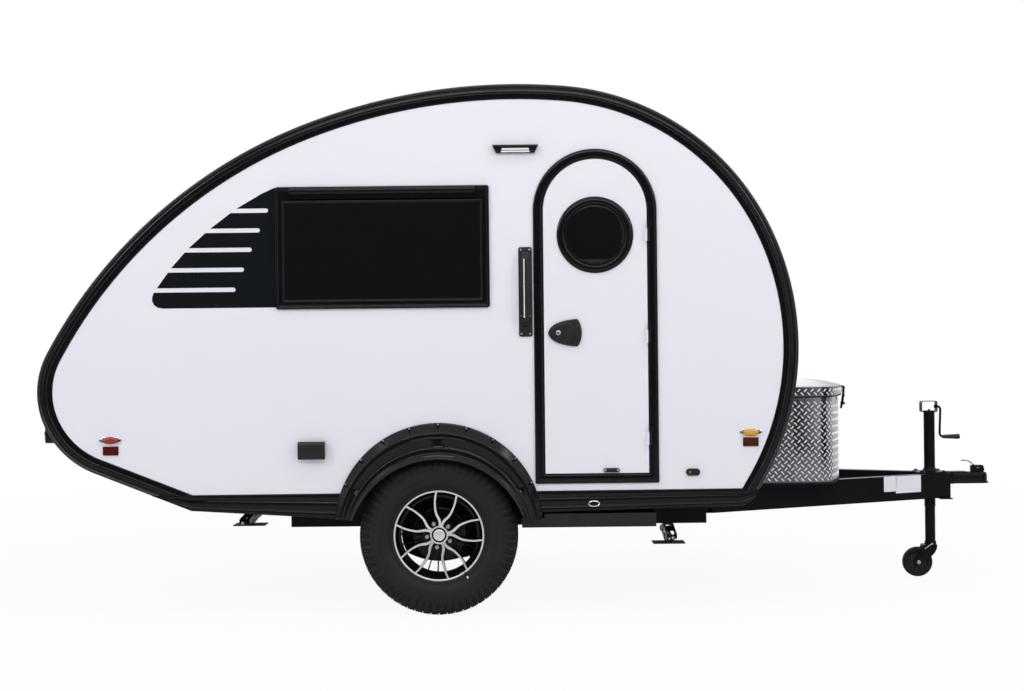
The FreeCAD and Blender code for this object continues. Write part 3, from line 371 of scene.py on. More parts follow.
def grainedFinish(name, colour, shader, grain, gloss, tone=None):
    # grain of (size mm, depth mm, detail), roughness patches of (size mm, spread) and, where
    # given, a second colour mixed in over patches of (colour, size mm)
    material, tree, coating, place = startFinish(name, colour, shader)
    size, depth, detail = grain
    addRelief(tree, coating, noise(tree, place, size, detail), depth)
    middle = shader["Roughness"]
    spread = addNode(tree, "MapRange", {"To Min": middle - gloss[1], "To Max": middle + gloss[1]},
                     {"Value": noise(tree, place, gloss[0], 3.0)})
    tree.links.new(spread.outputs[0], coating.inputs["Roughness"])
    if tone:
        addTwoTone(tree, coating, noise(tree, place, tone[1], 2.0), colour, tone[0])
    return material


# Roll-coated aluminium sheet on foam: even polyester gloss, faintly wavy, cool white
whiteSheet = grainedFinish("whitePolyesterAluminium", "#E8E8F0", resin(0.32, 1.5, 0.25),
                           (420, 0.8, 1.0), (900, 0.04), ("#E3E3EB", 1500))
# Extruded and vacuum-formed ABS: deep black with a soft, slightly uneven shine
glossAbs = grainedFinish("glossBlackAbs", "#0C0C0E", resin(0.18, 1.53, 0.18),
                         (30, 0.03, 2.0), (60, 0.06), ("#141416", 220))
# Moulded ABS with a haircell grain, drawn 3 mm wide so that it shows: satin, breaks the light up
grainedAbs = grainedFinish("grainedBlackAbs", "#141415", resin(0.46, 1.53, 0.3),
                           (3, 0.18, 4.0), (40, 0.08), ("#1C1C1D", 90))
# Thermoformed ABS, satin side out: smoother than the grained parts, clear highlights on the bends
satinAbs = grainedFinish("satinBlackAbs", "#0D0D0E", resin(0.15, 1.53, 0.2),
                         (30, 0.03, 2.0), (60, 0.05), ("#161617", 150))
# The same ABS made greyer and more reflective, so it keeps a broad highlight: a painted highlight, laid on the
# thin strips where highlights fall
highlightAbs = grainedFinish("blackAbsPaintedHighlight", "#151516", resin(0.3, 1.53, 0.5),
                        (30, 0.03, 2.0), (60, 0.05), ("#1B1B1C", 150))
# Powder-coated steel: baked resin with orange peel about 4 mm across
powderCoat = grainedFinish("blackPowderCoat", "#090909", resin(0.34, 1.5, 0.1),
                           (4, 0.06, 2.0), (50, 0.06), ("#121213", 160))
# Smoked acrylic sheet, thermoformed: very dark and mirror smooth, with the faint draw of the mould
smokedAcrylic = grainedFinish("smokedAcrylic", "#131314", resin(0.07, 1.49, 0.2),
                              (260, 0.5, 1.0), (300, 0.02))
# Cast vinyl film, gloss, laid on the sheet: cool black, no grain
vinylFilm = grainedFinish("blackVinylFilm", "#121619", resin(0.26, 1.5, 0.18), (300, 0.3, 1.0), (200, 0.05))
# Bright aluminium tread plate, rolled: soft mirror, scuffed in patches
treadPlate = grainedFinish("rolledTreadPlate", "#7A7C82", metal(0.2),
                           (9, 0.03, 2.0), (70, 0.06), ("#64666C", 60))
# The same sheet's raised bars, near-white and mostly matt: a painted highlight, brighter and duller than the
# ground between
treadRidgeHighlight = grainedFinish("treadRidgePaintedHighlight", "#F6F6F8", metal(0.36, 0.3),
                           (5, 0.03, 2.0), (30, 0.08), ("#DCDDE1", 25))
# Zinc-plated steel: cool grey metal, cloudy
zincSteel = grainedFinish("zincPlatedSteel", "#B9BBBE", metal(0.34),
                          (5, 0.05, 2.0), (18, 0.1), ("#9EA1A6", 14))
# Cast alloy, lathe-turned, with a fine tool grain: bright, with about a third matt near-white, a painted sheen
# that keeps the turned faces light under any lamp
turnedAlloyPaintedSheen = grainedFinish("turnedAlloyPaintedSheen", "#E9EAEC", metal(0.34, 0.65),
                            (2, 0.02, 2.0), (25, 0.06), ("#D9DADD", 20))
# Aluminium sheet, mill finish under a clear coat: soft warm grey sheen
satinAluminium = grainedFinish("satinAluminium", "#9E9C97", metal(0.42, 0.6),
                               (8, 0.03, 2.0), (90, 0.08), ("#94928E", 60))
# Chrome on plastic: bright, near mirror
chromeTrim = grainedFinish("chromedPlastic", "#DADBDE", metal(0.1), (30, 0.03, 1.0), (20, 0.03))
# Tyre compound: carbon-black rubber with a fine mould texture, dull, greyer where it is dusty
tyreRubber = grainedFinish("blackTyreRubber", "#17181A", resin(0.6, 1.52, 0.2),
                           (4, 0.14, 4.0), (30, 0.1), ("#202124", 60))
# EPDM seal: matt black rubber
sealRubber = grainedFinish("epdmRubber", "#0E0E0F", resin(0.7, 1.5, 0.25), (3, 0.08, 3.0), (20, 0.06))
# Film-faced plywood: brown-black phenolic film, slightly mottled
floorBoard = grainedFinish("filmFacedPlywood", "#3A3632", resin(0.5, 1.5, 0.35),
                           (9, 0.15, 3.0), (80, 0.1), ("#2B2826", 120))
# Gloss black wheel paint under lacquer
wheelPaint = grainedFinish("glossBlackLacquer", "#070708", resin(0.22, 1.5, 0.2),
                           (2, 0.02, 2.0), (40, 0.05))
# Opal polycarbonate lens: milky white, soft sheen
opalLens = grainedFinish("opalPolycarbonate", "#EDEDF0", resin(0.25, 1.58, 0.4), (6, 0.05, 1.0), (30, 0.05))


def lensFinish(name, colour, deep, flute, gloss=0.25):
    # clear coloured acrylic with square optics: height = distance to the nearest cell middle
    shader = {**resin(0.12, 1.49, 2 * gloss), "Coat Weight": gloss, "Coat Roughness": 0.04}
    material, tree, coating, place = startFinish(name, colour, shader)
    optics = addNode(tree, "TexVoronoi", {"distance": "CHEBYCHEV", "Randomness": 0.0,
                                                    "Scale": 1 / (flute * mm)}, {"Vector": place})
    addRelief(tree, coating, optics.outputs["Distance"], 1.2, 0.8)
    addTwoTone(tree, coating, optics.outputs["Distance"], deep, colour)
    return material


# Lamp lenses: moulded acrylic with square optics behind a smooth face
redLens = lensFinish("redAcrylicLens", "#C4180F", "#7C0D08", 7)
darkRedLens = lensFinish("redReflexAcrylic", "#5C0D0B", "#430907", 5, 0.06)
amberLens = lensFinish("amberAcrylicLens", "#F5B410", "#D08808", 7)
darkAmberLens = lensFinish("amberReflexAcrylic", "#54200A", "#3C1406", 5, 0.06)
print("finishes ready")

finishOf = {
    whiteSheet: ["side_panel_left", "side_panel_right", "roof_shell", "rear_hatch", "door_leaf",
                 "roof_vent_base", "roof_vent_lid"],
    glossAbs: ["edge_trims", "side_skirts", "door_frame", "window_frames", "door_porthole",
               "wall_fittings", "door_latch"],
    grainedAbs: ["fender_flares", "wheel_wells", "entry_step"],
    smokedAcrylic: ["window_panes"],
    powderCoat: ["chassis_frame", "tongue_rails", "axle_beam", "coupler", "jack_tube", "jack_ram",
                 "caster_fork", "jack_crank"],
    treadPlate: ["front_tub", "tub_lid"],
    floorBoard: ["floor_panel"],
    tyreRubber: ["tyre_left", "tyre_right", "caster_wheel"],
    wheelPaint: ["wheel_left", "wheel_right"],
    redLens: ["marker_lamps", "tail_lamps"]}


def paintNode(nodeName, finish):
    for holder in nodes[nodeName].material_slots:
        holder.material = finish


for finish, names in finishOf.items():
    for nodeName in names:
        paintNode(nodeName, finish)
for nodeName in nodes:
    if nodeName.startswith("stabilizer_"):
        paintNode(nodeName, zincSteel if nodeName.endswith("_screw") else powderCoat)


# Side outline: the chain of arcs that the walls, roof and trim follow, from the rear foot over the top

bodyOutline = {
    "foot": 0.4906, "heading": 158.3, "spacing": 0.02,
    # radius and turn in degrees, or 0 and a length, for each section
    "sections": [(0, 481), (419, 44.2), (381, 52.5), (2279, 40.9), (2732, 25.6),
                 (1164, 58.1), (1270, 57.2), (0, 60), (100, 59.8)]}


def arcThrough(a, b, c, spacing):
    # centre is equally far from all three; points turn evenly from a to c
    chords = np.array([b - a, c - b])
    centre = np.linalg.solve(chords, (chords * [(a + b) / 2, (b + c) / 2]).sum(1))
    first, last = [np.arctan2(*(end - centre)[::-1]) for end in (a, c)]
    turn = (last - first + np.pi) % (2 * np.pi) - np.pi
    radius = np.linalg.norm(a - centre)
    angle = first + turn * np.linspace(0, 1, int(abs(turn) * radius / spacing) + 8)
    return centre + radius * onCircle(angle)


def traceBody():
    # points (x, z) of the outline, how far along each is, and the outward direction there
    here, course, chain = np.zeros(2), np.radians(bodyOutline["heading"]), []
    share = np.linspace(0, 1, 25)[:, None]
    for radius, amount in bodyOutline["sections"]:
        if radius:
            turn = np.radians(amount)
            centre = here + radius * np.array([np.sin(course), -np.cos(course)])
            angle = course + quarterTurn - turn * share
            marks = centre + radius * onCircle(angle[:, 0])
            course -= turn
        else:
            marks = here + share * amount * onCircle(course)
        chain.append((radius, marks))
        here = marks[-1]
    low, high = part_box("edge_trims")
    reach = np.concatenate([marks for radius, marks in chain])
    scale = np.array([(high.x - low.x) / np.ptp(reach[:, 0]),
                      (high.z - bodyOutline["foot"]) / reach[:, 1].max()])
    corner = np.array([low.x - reach[:, 0].min() * scale[0], bodyOutline["foot"]])
    parts = []
    for radius, marks in chain:
        a, b, c = corner + marks[[0, 12, 24]] * scale
        spacing = bodyOutline["spacing"]
        if radius:
            part = arcThrough(a, b, c, spacing)
        else:
            part = a + np.linspace(0, 1, int(np.linalg.norm(c - a) / spacing) + 4)[:, None] * (c - a)
        parts.append(part[:-1])
    line = np.concatenate(parts + [c[None]])
    along = distances(line)
    ahead = np.gradient(line, along, axis=0)
    return line, along, unit(np.stack([-ahead[:, 1], ahead[:, 0]], -1))


bodyLine, bodyAlong, bodyOut = traceBody()


def bodyPoint(along, height):
    # outline point at that distance along, moved outward by height
    x, z, outX, outZ = [np.interp(along, bodyAlong, column)
                        for column in (*bodyLine.T, *bodyOut.T)]
    return x + height * outX, z + height * outZ


def alongAt(z, end):
    # distance along the outline where it passes height z, rear (-1) or front (1)
    top = int(np.argmax(bodyLine[:, 1]))
    if end < 0:
        return float(np.interp(z, bodyLine[:top, 1], bodyAlong[:top]))
    return float(np.interp(-z, -bodyLine[top:, 1], bodyAlong[top:]))


def alongNear(x, z):
    # distance along of the outline point nearest to (x, z)
    return float(bodyAlong[np.argmin(np.hypot(bodyLine[:, 0] - x, bodyLine[:, 1] - z))])


def onEndWall(z, end):
    # (across, up, out) on the curved rear (-1) or front (1) wall round height z
    middle = alongAt(z, end)

    def place(flat, out):
        x, height = bodyPoint(middle - end * flat[..., 1], out)
        return np.stack([x, end * flat[..., 0], height], -1)
    return place


# Edge trims: an outer bead, a groove and a gently crowned band, in lengths that meet at small gaps

edgeTrim = {
    "bottom": 0.563, "gap": 5.0, "beadReach": 16.5,
    # (inset from the outline, height off the wall) in mm: crowned band, outer bead, thin rib
    "band": [(3, -48), (2, -48), (2, -1), (16.2, 1.2), (18.6, 1.2), (19.6, 2.6), (21.4, 3.9), (27, 5.2),
             (36, 6.0), (43, 6.2), (46, 5.6), (54, 5.0), (63, 4.4), (67.6, 3.6), (70.2, 2.4), (71, 0.8),
             (71, 0), (3, 0)],
    "bead": [(3, -48), (0, -48), (0, -4), (0.3, 1.6), (1.6, 4.8), (4.2, 7.0), (7.5, 7.8), (10.8, 7.0),
             (13.2, 4.8), (14.6, 2.2), (16.2, 1.0), (16.2, 0), (3, 0)],
    "rib": [(41.2, 4), (41.2, 6.4), (41.8, 7.8), (42.8, 8.6), (44.2, 8.6), (45.2, 7.8), (45.8, 6.4),
            (45.8, 4)],
    # where the outer bead is jointed, (x, z)
    "joints": [(-2.102, 1.482), (-0.800, 2.342), (0.093, 2.453), (0.897, 1.991),
               (-1.985, 0.640), (1.060, 0.720)]}


def trimStrip(profile):
    inset, height = np.array(profile).T * mm
    joints = [alongNear(*joint) for joint in edgeTrim["joints"]]
    half = edgeTrim["gap"] / 2 * mm
    edges = half * np.array([-1, -1, 1, 1]) + 0.4 * mm * np.array([-1, 0, 0, 1])
    cuts = np.concatenate([joint + edges for joint in joints])
    starts, ends = [], []
    for depth in inset:                     # each profile point's own offset curve is cut at the foot
        x, z = bodyPoint(bodyAlong, -depth)
        top = int(np.argmax(z))
        starts.append(np.interp(edgeTrim["bottom"], z[:top], bodyAlong[:top]))
        ends.append(np.interp(-edgeTrim["bottom"], -z[top:], bodyAlong[top:]))
    along = np.sort(np.concatenate([bodyAlong, cuts, starts, ends]))
    along = along[(along >= min(starts)) & (along <= max(ends))]
    reach = np.clip(along[:, None], np.array(starts), np.array(ends))
    parted = np.min(np.abs(along[:, None] - np.array(joints)), axis=1) < half + 0.1 * mm
    bead = inset < edgeTrim["beadReach"] * mm
    out = np.where(parted[:, None] & bead, np.minimum(height, 1.4 * mm), height + 0 * reach)
    x, z = bodyPoint(reach, -inset)
    return surface(x, sideY - out, z)


# the bead and the thin rib are in the greyer ABS: painted highlights along them
makePiece("edge_trim", [(glossAbs, bothSides([trimStrip(edgeTrim["band"])])),
                        (highlightAbs, bothSides([trimStrip(edgeTrim[name]) for name in ("bead", "rib")]))],
          "trailer", ["edge_trims"])
print("edge trims ready")


# Striped film behind the window: five slots with round right ends, open to its curved left edge

stripedFilm = {
    "thick": 0.5, "right": -1.2425, "slotHalf": 0.010,
    "slots": [(-1.275, 1.875), (-1.314, 1.784), (-1.352, 1.695), (-1.389, 1.603),
              (-1.429, 1.511)],
    # left edge (x, z) from the top down
    "edge": [(-1.2425, 1.981), (-1.306, 1.952), (-1.425, 1.883), (-1.543, 1.794),
             (-1.647, 1.702), (-1.727, 1.612), (-1.794, 1.519), (-1.809, 1.497),
             (-1.815, 1.478), (-1.815, 1.462), (-1.806, 1.443), (-1.788, 1.431),
             (-1.763, 1.427)]}


def filmOutline():
    edge = np.array(stripedFilm["edge"])
    half = stripedFilm["slotHalf"]
    turn = np.linspace(quarterTurn, -quarterTurn, 9)
    heights, pieces = edge[:, 1], []
    upper = edge[0, 1]
    for right, middle in stripedFilm["slots"]:
        inside = edge[(heights < upper) & (heights > middle + half)]
        lip = [np.interp(-(middle + half), -heights, edge[:, 0]), middle + half]
        end = [right - half, middle] + half * onCircle(turn)
        upper = middle - half
        back = [np.interp(-upper, -heights, edge[:, 0]), upper]
        pieces += [inside, [lip], end, [back]]
    pieces.append(edge[heights < upper])
    corners = [[[stripedFilm["right"], edge[-1, 1]], [stripedFilm["right"], edge[0, 1]]]]
    return np.concatenate(pieces + corners)


film = filmOutline()
filmPlace = onWall(0, 0)
filmShape = skinOf([filmPlace(film, 0.02 * mm), filmPlace(film, stripedFilm["thick"] * mm)])
makePiece("striped_film", [(vinylFilm, bothSides([filmShape]))], "trailer")


# Side windows: flange with a rolled edge and a hinge rail, and a bowed acrylic pane with a raised rim

sideWindow = {
    "x": -0.749, "z": 1.6995, "width": 0.988, "height": 0.565, "corner": 0.012,
    "flange": [(0, 0), (0, 8.4), (0.7, 10.4), (2.4, 11.8), (5, 12.2), (9, 11.6), (12, 9.6),
               (14, 8.8), (28, 8.4), (33, 7.6), (57, 6.8), (57, -30), (15, -30), (15, 0)],
    "paneIn": 0.030, "paneDrop": 0.034, "paneCorner": 0.012,
    "pane": [(0, 7.0), (0, 11), (0.8, 13.2), (2.6, 14.6), (5.2, 15), (8, 14.2), (10, 12.2),
             (12.5, 11.4), (16, 11.2), (30, 11.6), (80, 12.6), (140, 13.2), (200, 13.4)],
    "railHalf": 0.432, "railHeight": 0.034, "railDown": 0.020,
    "railTip": 0.018, "railOut": (8.6, 10.5)}
endWindows = {
    "corner": 0.060, "paneIn": 0.030,
    # height, end (front 1, rear -1), width, height along the wall
    "places": [(1.690, 1, 1.250, 0.470), (1.640, -1, 1.000, 0.430)],
    "flange": [(0, -2), (0, 7), (1.2, 9.6), (4, 11.4), (9, 12), (15, 11), (19, 9), (36, 8.2),
               (57, 5), (57, -28), (15, -28), (15, -2)],
    "pane": [(0, 3), (0, 9), (1.2, 11.2), (4, 12), (8, 11.4), (12, 9.4), (16, 9), (60, 9.4),
             (110, 9.6), (150, 9.6), (170, 9.6)]}


def sideWindowShapes():
    w = sideWindow
    place = onWall(w["x"], w["z"])
    flange = plate(w["width"], w["height"], w["corner"], w["flange"], place, build=framed)
    paneHeight = w["height"] - w["paneDrop"] - 2 * w["paneIn"]
    pane = plate(w["width"] - 2 * w["paneIn"], paneHeight, w["paneCorner"], w["pane"],
                 onWall(w["x"], w["z"] - w["paneDrop"] / 2))
    turn = np.linspace(0, np.pi, 13)
    reach = w["railHeight"] / 2
    # the rail's ends are rounded off over that share of its half length
    tip, share = onCircle(np.linspace(0, quarterTurn, 6)).T
    tip = 1 - w["railTip"] * (1 - tip)
    swell = np.concatenate([share[:-1], np.ones(3), share[::-1][1:]])
    stretch = np.concatenate([-tip[:-1], [-0.975, 0, 0.975], tip[::-1][1:]])
    middle = w["z"] + w["height"] / 2 - w["railDown"]
    across = w["x"] + w["railHalf"] * stretch[:, None]
    up = middle + reach * swell[:, None] * np.cos(turn)
    out = w["railOut"][0] + w["railOut"][1] * swell[:, None] * np.sin(turn)
    rail = surface(across, sideY - out * mm, up)
    return [flange, rail], [pane]


def endWindowShapes():
    e = endWindows
    frames, panes = [], []
    for z, end, width, height in e["places"]:
        place, inset = onEndWall(z, end), 2 * e["paneIn"]
        frames.append(plate(width, height, e["corner"], e["flange"], place, 8, 16, framed))
        panes.append(plate(width - inset, height - inset, e["corner"] - 0.02, e["pane"], place, 8, 16))
    return frames, panes


sideFrames, sidePanes = sideWindowShapes()
endFrames, endPanes = endWindowShapes()
makePiece("window_frame", [(glossAbs, bothSides(sideFrames) + endFrames)], "trailer",
          ["window_frames"])
makePiece("window_pane", [(smokedAcrylic, bothSides(sidePanes) + endPanes)], "trailer",
          ["window_panes"])
print("windows ready")


# Door: crowned frame band, hinge knuckles, porthole, paddle latch and catch plate

door = {
    "x": 0.233, "width": 0.572, "bottom": 0.600, "top": 2.1445, "corner": 0.004,
    "band": [(0, 0), (0, 5.6), (0.8, 7.8), (3, 9.6), (8, 11), (15, 11.8), (21.5, 12), (28, 11.8),
             (35, 11), (40, 9.4), (42.2, 7.4), (43, 5), (43, -30), (15, -30), (15, 0)],
    "hingeX": 0.480, "hingeOut": 0.020, "knuckle": 0.006, "knuckleHalf": 0.045,
    "hingeFoot": (6, 16), "hingeWeb": (0, 8),
    "hinges": [0.820, 1.28975, 1.760], "screwAside": 0.264, "screwUp": 0.6215}
porthole = {
    "z": 1.747,
    # ring section (radius, height off the door skin) in mm, closed
    "ring": [(177, 0), (177, 2.4), (175.8, 4.8), (172.5, 7.4), (167, 9.8), (160, 11.4),
             (152.5, 11.8), (146.5, 10.6), (143, 8.4), (141, 5), (139.5, 3.6), (137.6, 3.6),
             (137.2, 1), (137.2, -36), (150, -36), (150, 0)],
    "seal": [(137.6, 3.4), (137.6, 4.4), (136.6, 5), (135, 4.8), (134.4, 3.6), (134.4, -6),
             (137.6, -6)],
    "glass": [(134.6, -4), (134.6, 3), (132, 3.6), (110, 5.2), (80, 6.6), (40, 7.6), (0, 8)],
    "sillTop": -113, "sillRadius": 130, "sillOut": (6, 13)}


def archOutline(inset):
    # half circle over straight sides, all drawn in by inset; small rounded foot corners
    half = door["width"] / 2 - inset
    spring, foot = door["top"] - door["width"] / 2, door["bottom"] + inset
    corner = door["corner"]
    head = np.linspace(0, np.pi, 49)
    quarter = np.linspace(0, quarterTurn, 4)
    left = [corner - half, foot + corner] - corner * onCircle(quarter)
    return np.concatenate([[0, spring] + half * onCircle(head), left, left[::-1] * [-1, 1]])


def hingeBarrel(low, high, side):
    # barrel on the hinge axis with a foot towards the frame (1) or the leaf (-1)
    x, y = door["hingeX"], sideY - door["hingeOut"]
    shapes = [tube([(x, y, z) for z in (low, (low + high) / 2, high)], door["knuckle"], 18)]
    for reach, inside, outside, edge in ((door["hingeFoot"], y - 1 * mm, sideY - 8 * mm, 0.8),
                                         (door["hingeWeb"], y - 1.5 * mm, y + 1.5 * mm, 0.5)):
        west, east = sorted(x + side * away * mm for away in reach)
        shapes.append(softBox((west, inside, low), (east, outside, high), edge * mm))
    return shapes


doorPlace = onWall(door["x"], 0)
doorBand = framed(archOutline, door["band"], doorPlace)
frameKnuckles = []
for hingeZ in door["hinges"]:
    frameKnuckles += hingeBarrel(hingeZ + 15.5 * mm, hingeZ + door["knuckleHalf"], 1)
cornerScrews = [dome((door["x"] + side * door["screwAside"], sideY - 11.4 * mm, door["screwUp"]),
                     3.4 * mm, 1.6 * mm) for side in (-1, 1)]
makePiece("door_surround", [(glossAbs, [doorBand] + frameKnuckles), (powderCoat, cornerScrews)],
          "trailer", ["door_frame"])


def portholeShapes():
    turned = turnedAbout((door["x"], sideY - 6 * mm, porthole["z"]), 128, outward=-1)
    angle = np.arccos(porthole["sillTop"] / porthole["sillRadius"]) - np.pi
    swing = np.linspace(angle, -angle, 25) - quarterTurn
    arc = porthole["sillRadius"] * onCircle(swing)
    chord = np.linspace(arc[-1], arc[0], 25)
    rim = np.concatenate([arc, chord[1:-1]]) * mm
    place = onWall(door["x"], porthole["z"])
    shelf = skinOf([place(rim, out * mm) for out in porthole["sillOut"]])
    return turned(porthole["ring"], True), turned(porthole["seal"], True), turned(porthole["glass"]), shelf


ringShape, sealShape, glassShape, sillShape = portholeShapes()
makePiece("porthole", [(glossAbs, [ringShape]), (sealRubber, [sealShape]), (smokedAcrylic, [glassShape]),
                       (grainedAbs, [sillShape])], "door", ["door_porthole"])

paddleLatch = {
    "x": 0.090, "z": 1.296,
    # upper halves of the outlines (across, up) in mm, from right to left
    "plate": [(77.5, 0), (75.5, 22), (70, 42), (61, 59), (56, 62.5), (50, 63), (20, 60), (-12, 53),
              (-40, 43), (-58, 32), (-71, 17), (-77.5, 0)],
    "paddle": [(42, 0), (38, 24), (27, 42), (10, 49), (-14, 44), (-40, 35), (-55, 25), (-65, 12),
               (-69, 0)],
    # hollow: outline of a flat black sheet that stands for the finger hollow's shade
    "hollow": [(48, 0), (46, 26), (38, 46), (31, 47), (45, 22), (46, 0)],
    # insets shrink an outline by their share of this reach
    "plateReach": 0.066, "paddleReach": 0.045,
    "plateRim": [(0, 5.6), (0, 13), (0.8, 15), (2.4, 16.4), (5, 17)],
    "paddleRim": [(0, 16), (0.4, 18.2), (2, 19.4), (8, 19.8), (20, 20)],
    "lockX": -31, "lockOut": 19.4,
    "lock": [(0, 0), (11, 0), (11, 1.4), (9.6, 2.4), (4, 2.6), (0, 2.6)]}
catchPlate = {"x": 0.299, "z": 0.660, "size": (0.076, 0.020, 0.0095), "ear": 0.029, "middle": 0.017,
              "rim": [(0, 5.6), (0, 11), (1, 13), (3, 14)]}


def wholeOutline(half, count):
    # smooth outline through an upper half and its mirror image below
    return smoothCurve(half + [(across, -up) for across, up in half[-2:0:-1]], count, True) * mm


def latchShapes():
    latch, catch = paddleLatch, catchPlate
    place = onWall(latch["x"], latch["z"])
    plateEdge = wholeOutline(latch["plate"], 132)
    base = raised(lambda inset: plateEdge * (1 - inset / latch["plateReach"]), latch["plateRim"], place)
    # paddle: a crowned leaf over the left two thirds, with a finger hollow behind its round right end; the
    # hollow is no recess but a flat black crescent, painted shade
    leaf = wholeOutline(latch["paddle"], 96)
    paddle = raised(lambda inset: leaf * (1 - inset / latch["paddleReach"]), latch["paddleRim"], place)
    slotRim = wholeOutline(latch["hollow"], 60)
    hollow = raised(lambda inset: slotRim, [(0, 16.8), (0, 17.2)], place)
    lock = np.array([latch["x"] + latch["lockX"] * mm, sideY - latch["lockOut"] * mm, latch["z"]])
    barrel = turnedAbout(lock, 32, outward=-1)(latch["lock"])
    # the key slot is a thin black box on the barrel's face: painted shade
    slit = softBox(lock + np.array([-1, -3.0, -4.5]) * mm, lock + np.array([1, -2.2, 4.5]) * mm, 0.2 * mm)
    x, z = catch["x"], catch["z"]
    strike = plate(*catch["size"], catch["rim"], onWall(x, z))
    ears = [dome((x + side * catch["ear"], sideY - 13.2 * mm, z + 0.5 * mm), 6 * mm, 2.2 * mm)
            for side in (-1, 1)]
    tongue = softBox((x - catch["middle"], sideY - 18 * mm, z - 7.5 * mm),
                     (x + catch["middle"], sideY - 12 * mm, z + 8 * mm), 2 * mm)
    return [base, paddle, strike, tongue], [hollow, slit], [barrel] + ears


latchBody, latchPaintedShade, latchMetal = latchShapes()
makePiece("door_latch_set", [(grainedAbs, latchBody), (sealRubber, latchPaintedShade), (zincSteel, latchMetal)],
          "door", ["door_latch"])


def doorSheet():
    # the white sheet finish, turning to black ABS on the hinge knuckles that stand off the leaf
    material, tree, coating, place = startFinish("whiteDoorSheet", "#E8E8F0", resin(0.3, 1.5, 0.35))
    axes = addNode(tree, "SeparateXYZ", links={0: place})

    def compare(operation, value, limit):
        return addNode(tree, "Math", {"operation": operation, 1: limit}, {0: value}).outputs[0]
    proud = compare("LESS_THAN", axes.outputs["Y"], sideY - 6.5 * mm)
    beside = compare("GREATER_THAN", axes.outputs["X"], door["hingeX"] - 7.5 * mm)
    knuckle = addNode(tree, "Math", {"operation": "MULTIPLY"}, {0: proud, 1: beside})
    addTwoTone(tree, coating, knuckle.outputs[0], "#E6E6EE", "#101012")
    addRelief(tree, coating, noise(tree, place, 1000 / 2.4, 1.0), 0.8)
    return material


paintNode("door_leaf", doorSheet())
print("door ready")


# Fittings on the door side wall: grab handle, porch lamp, power inlet, hold-back

grabHandle = {
    "x": -0.0905, "z": 1.487, "width": 0.063, "height": 0.414,
    "screwAside": 20, "screws": [194, -112, -194],
    "base": (0.011, [(0, 0), (0, 4), (0.8, 6), (2.4, 7.2), (5, 7.6)]),
    "well": (0.047, 0.300, 0.008, [(0, 7.4), (0, 8.8), (1.2, 9.4)]), "wellUp": 0.012,
    # finger ribs: share of the grip's size, pitch, and the ribbed length's middle and half
    "ribs": (0.05, 0.009, 0.012, 0.135),
    # lamp strip in the grip, a closed (out, up) section in mm
    "lamp": [(40.4, -118), (42, -120), (42, 150), (40.4, 148)],
    # grip: half width, half thickness; its path as (up, out) in mm
    "grip": (15.5, 6.5), "path": [(182, 3), (179, 14), (172, 26), (158, 33), (130, 35), (0, 35.5),
                                  (-100, 35), (-128, 33), (-144, 26), (-153, 14), (-157, 3)]}
porchLamp = {
    "x": -0.131, "z": 2.147, "topHalf": 106, "lowHalf": 90, "topUp": 20, "lowUp": -19,
    # sections (out, up) in mm: hood and lens; the hood's ends as (share of its half, size)
    "hood": [(0, 20), (21, 18), (25, 14), (26, 9), (24, -8), (19, -16), (15, -19), (0, -19)],
    "lens": [(15, -17.5), (21, -16), (25.6, -2), (25.8, 1.5), (20, 1.5), (12, -10)], "lensHalf": 64,
    "ends": [(-1, 0.86), (-0.985, 0.97), (-0.965, 1), (0.965, 1), (0.985, 0.97), (1, 0.86)]}
powerInlet = {
    "x": -1.083, "z": 0.765, "half": 62.5, "bodyHalf": 58, "pin": (56, 24, 37.5),
    "flange": (0.119, 0.076, 0.006, [(0, 0), (0, 3), (1.4, 4.2)]),
    # section (out, up) in mm
    "body": [(0, 37), (20, 38.5), (26, 36), (30, 30), (30, -30), (26, -37), (0, -38)],
    "lid": [(14, 41), (29, 40.5), (36, 34), (38, 26), (38, 4), (36.5, -8), (33.5, -34), (31, -39),
            (27, -40.5), (25, -38), (26, 30), (20, 36), (14, 38)]}


def extruded(section, x, half, bevel=1.2):
    # a closed (out, up) section along x, drawn in a little at both ends
    section = np.array(section, float) * mm
    middle = section.mean(0)
    rows = []
    for end, shrink in ((-half, bevel), (-half + bevel, 0), (half - bevel, 0), (half, bevel)):
        reach = np.linalg.norm(section - middle, axis=1, keepdims=True)
        ring = middle + (section - middle) * (1 - shrink * mm / reach)
        rows.append(gridOf(x + end * mm, *ring.T))
    return np.stack(rows)


def placedOnWall(rows, z):
    # rows of (x, out, up) moved onto the door side wall at height z
    return surface(rows[..., 0], sideY - rows[..., 1], z + rows[..., 2])


def handleShapes():
    h = grabHandle
    place = onWall(h["x"], h["z"])
    base = plate(h["width"], h["height"], *h["base"], place)
    well = plate(*h["well"], onWall(h["x"], h["z"] + h["wellUp"]))
    path = smoothCurve(h["path"], 240) * mm
    ahead = heading(path)
    section = ovalSection(*h["grip"]) * mm
    depth, pitch, middle, half = h["ribs"]
    ribs = 1 + depth * np.cos(path[:, 0] / pitch * 2 * np.pi) * (np.abs(path[:, 0] - middle) < half)
    across = h["x"] + 0.5 * mm + section[None, :, 0] * np.sqrt(ribs)[:, None]
    up = h["z"] + path[:, :1] - section[None, :, 1] * ahead[:, 1:] * ribs[:, None]
    out = path[:, 1:] + section[None, :, 1] * ahead[:, :1] * -ribs[:, None]
    grip = surface(across, sideY - out, up)
    lamp = placedOnWall(extruded(h["lamp"], h["x"] - 0.006, 2.2, 0.4), h["z"])
    screws = [dome((h["x"] + side * h["screwAside"] * mm, sideY - 7.2 * mm, h["z"] + up * mm),
                   4.4 * mm, 2.6 * mm) for up in h["screws"] for side in (-1, 1)]
    return [base, well, grip], screws, [lamp]


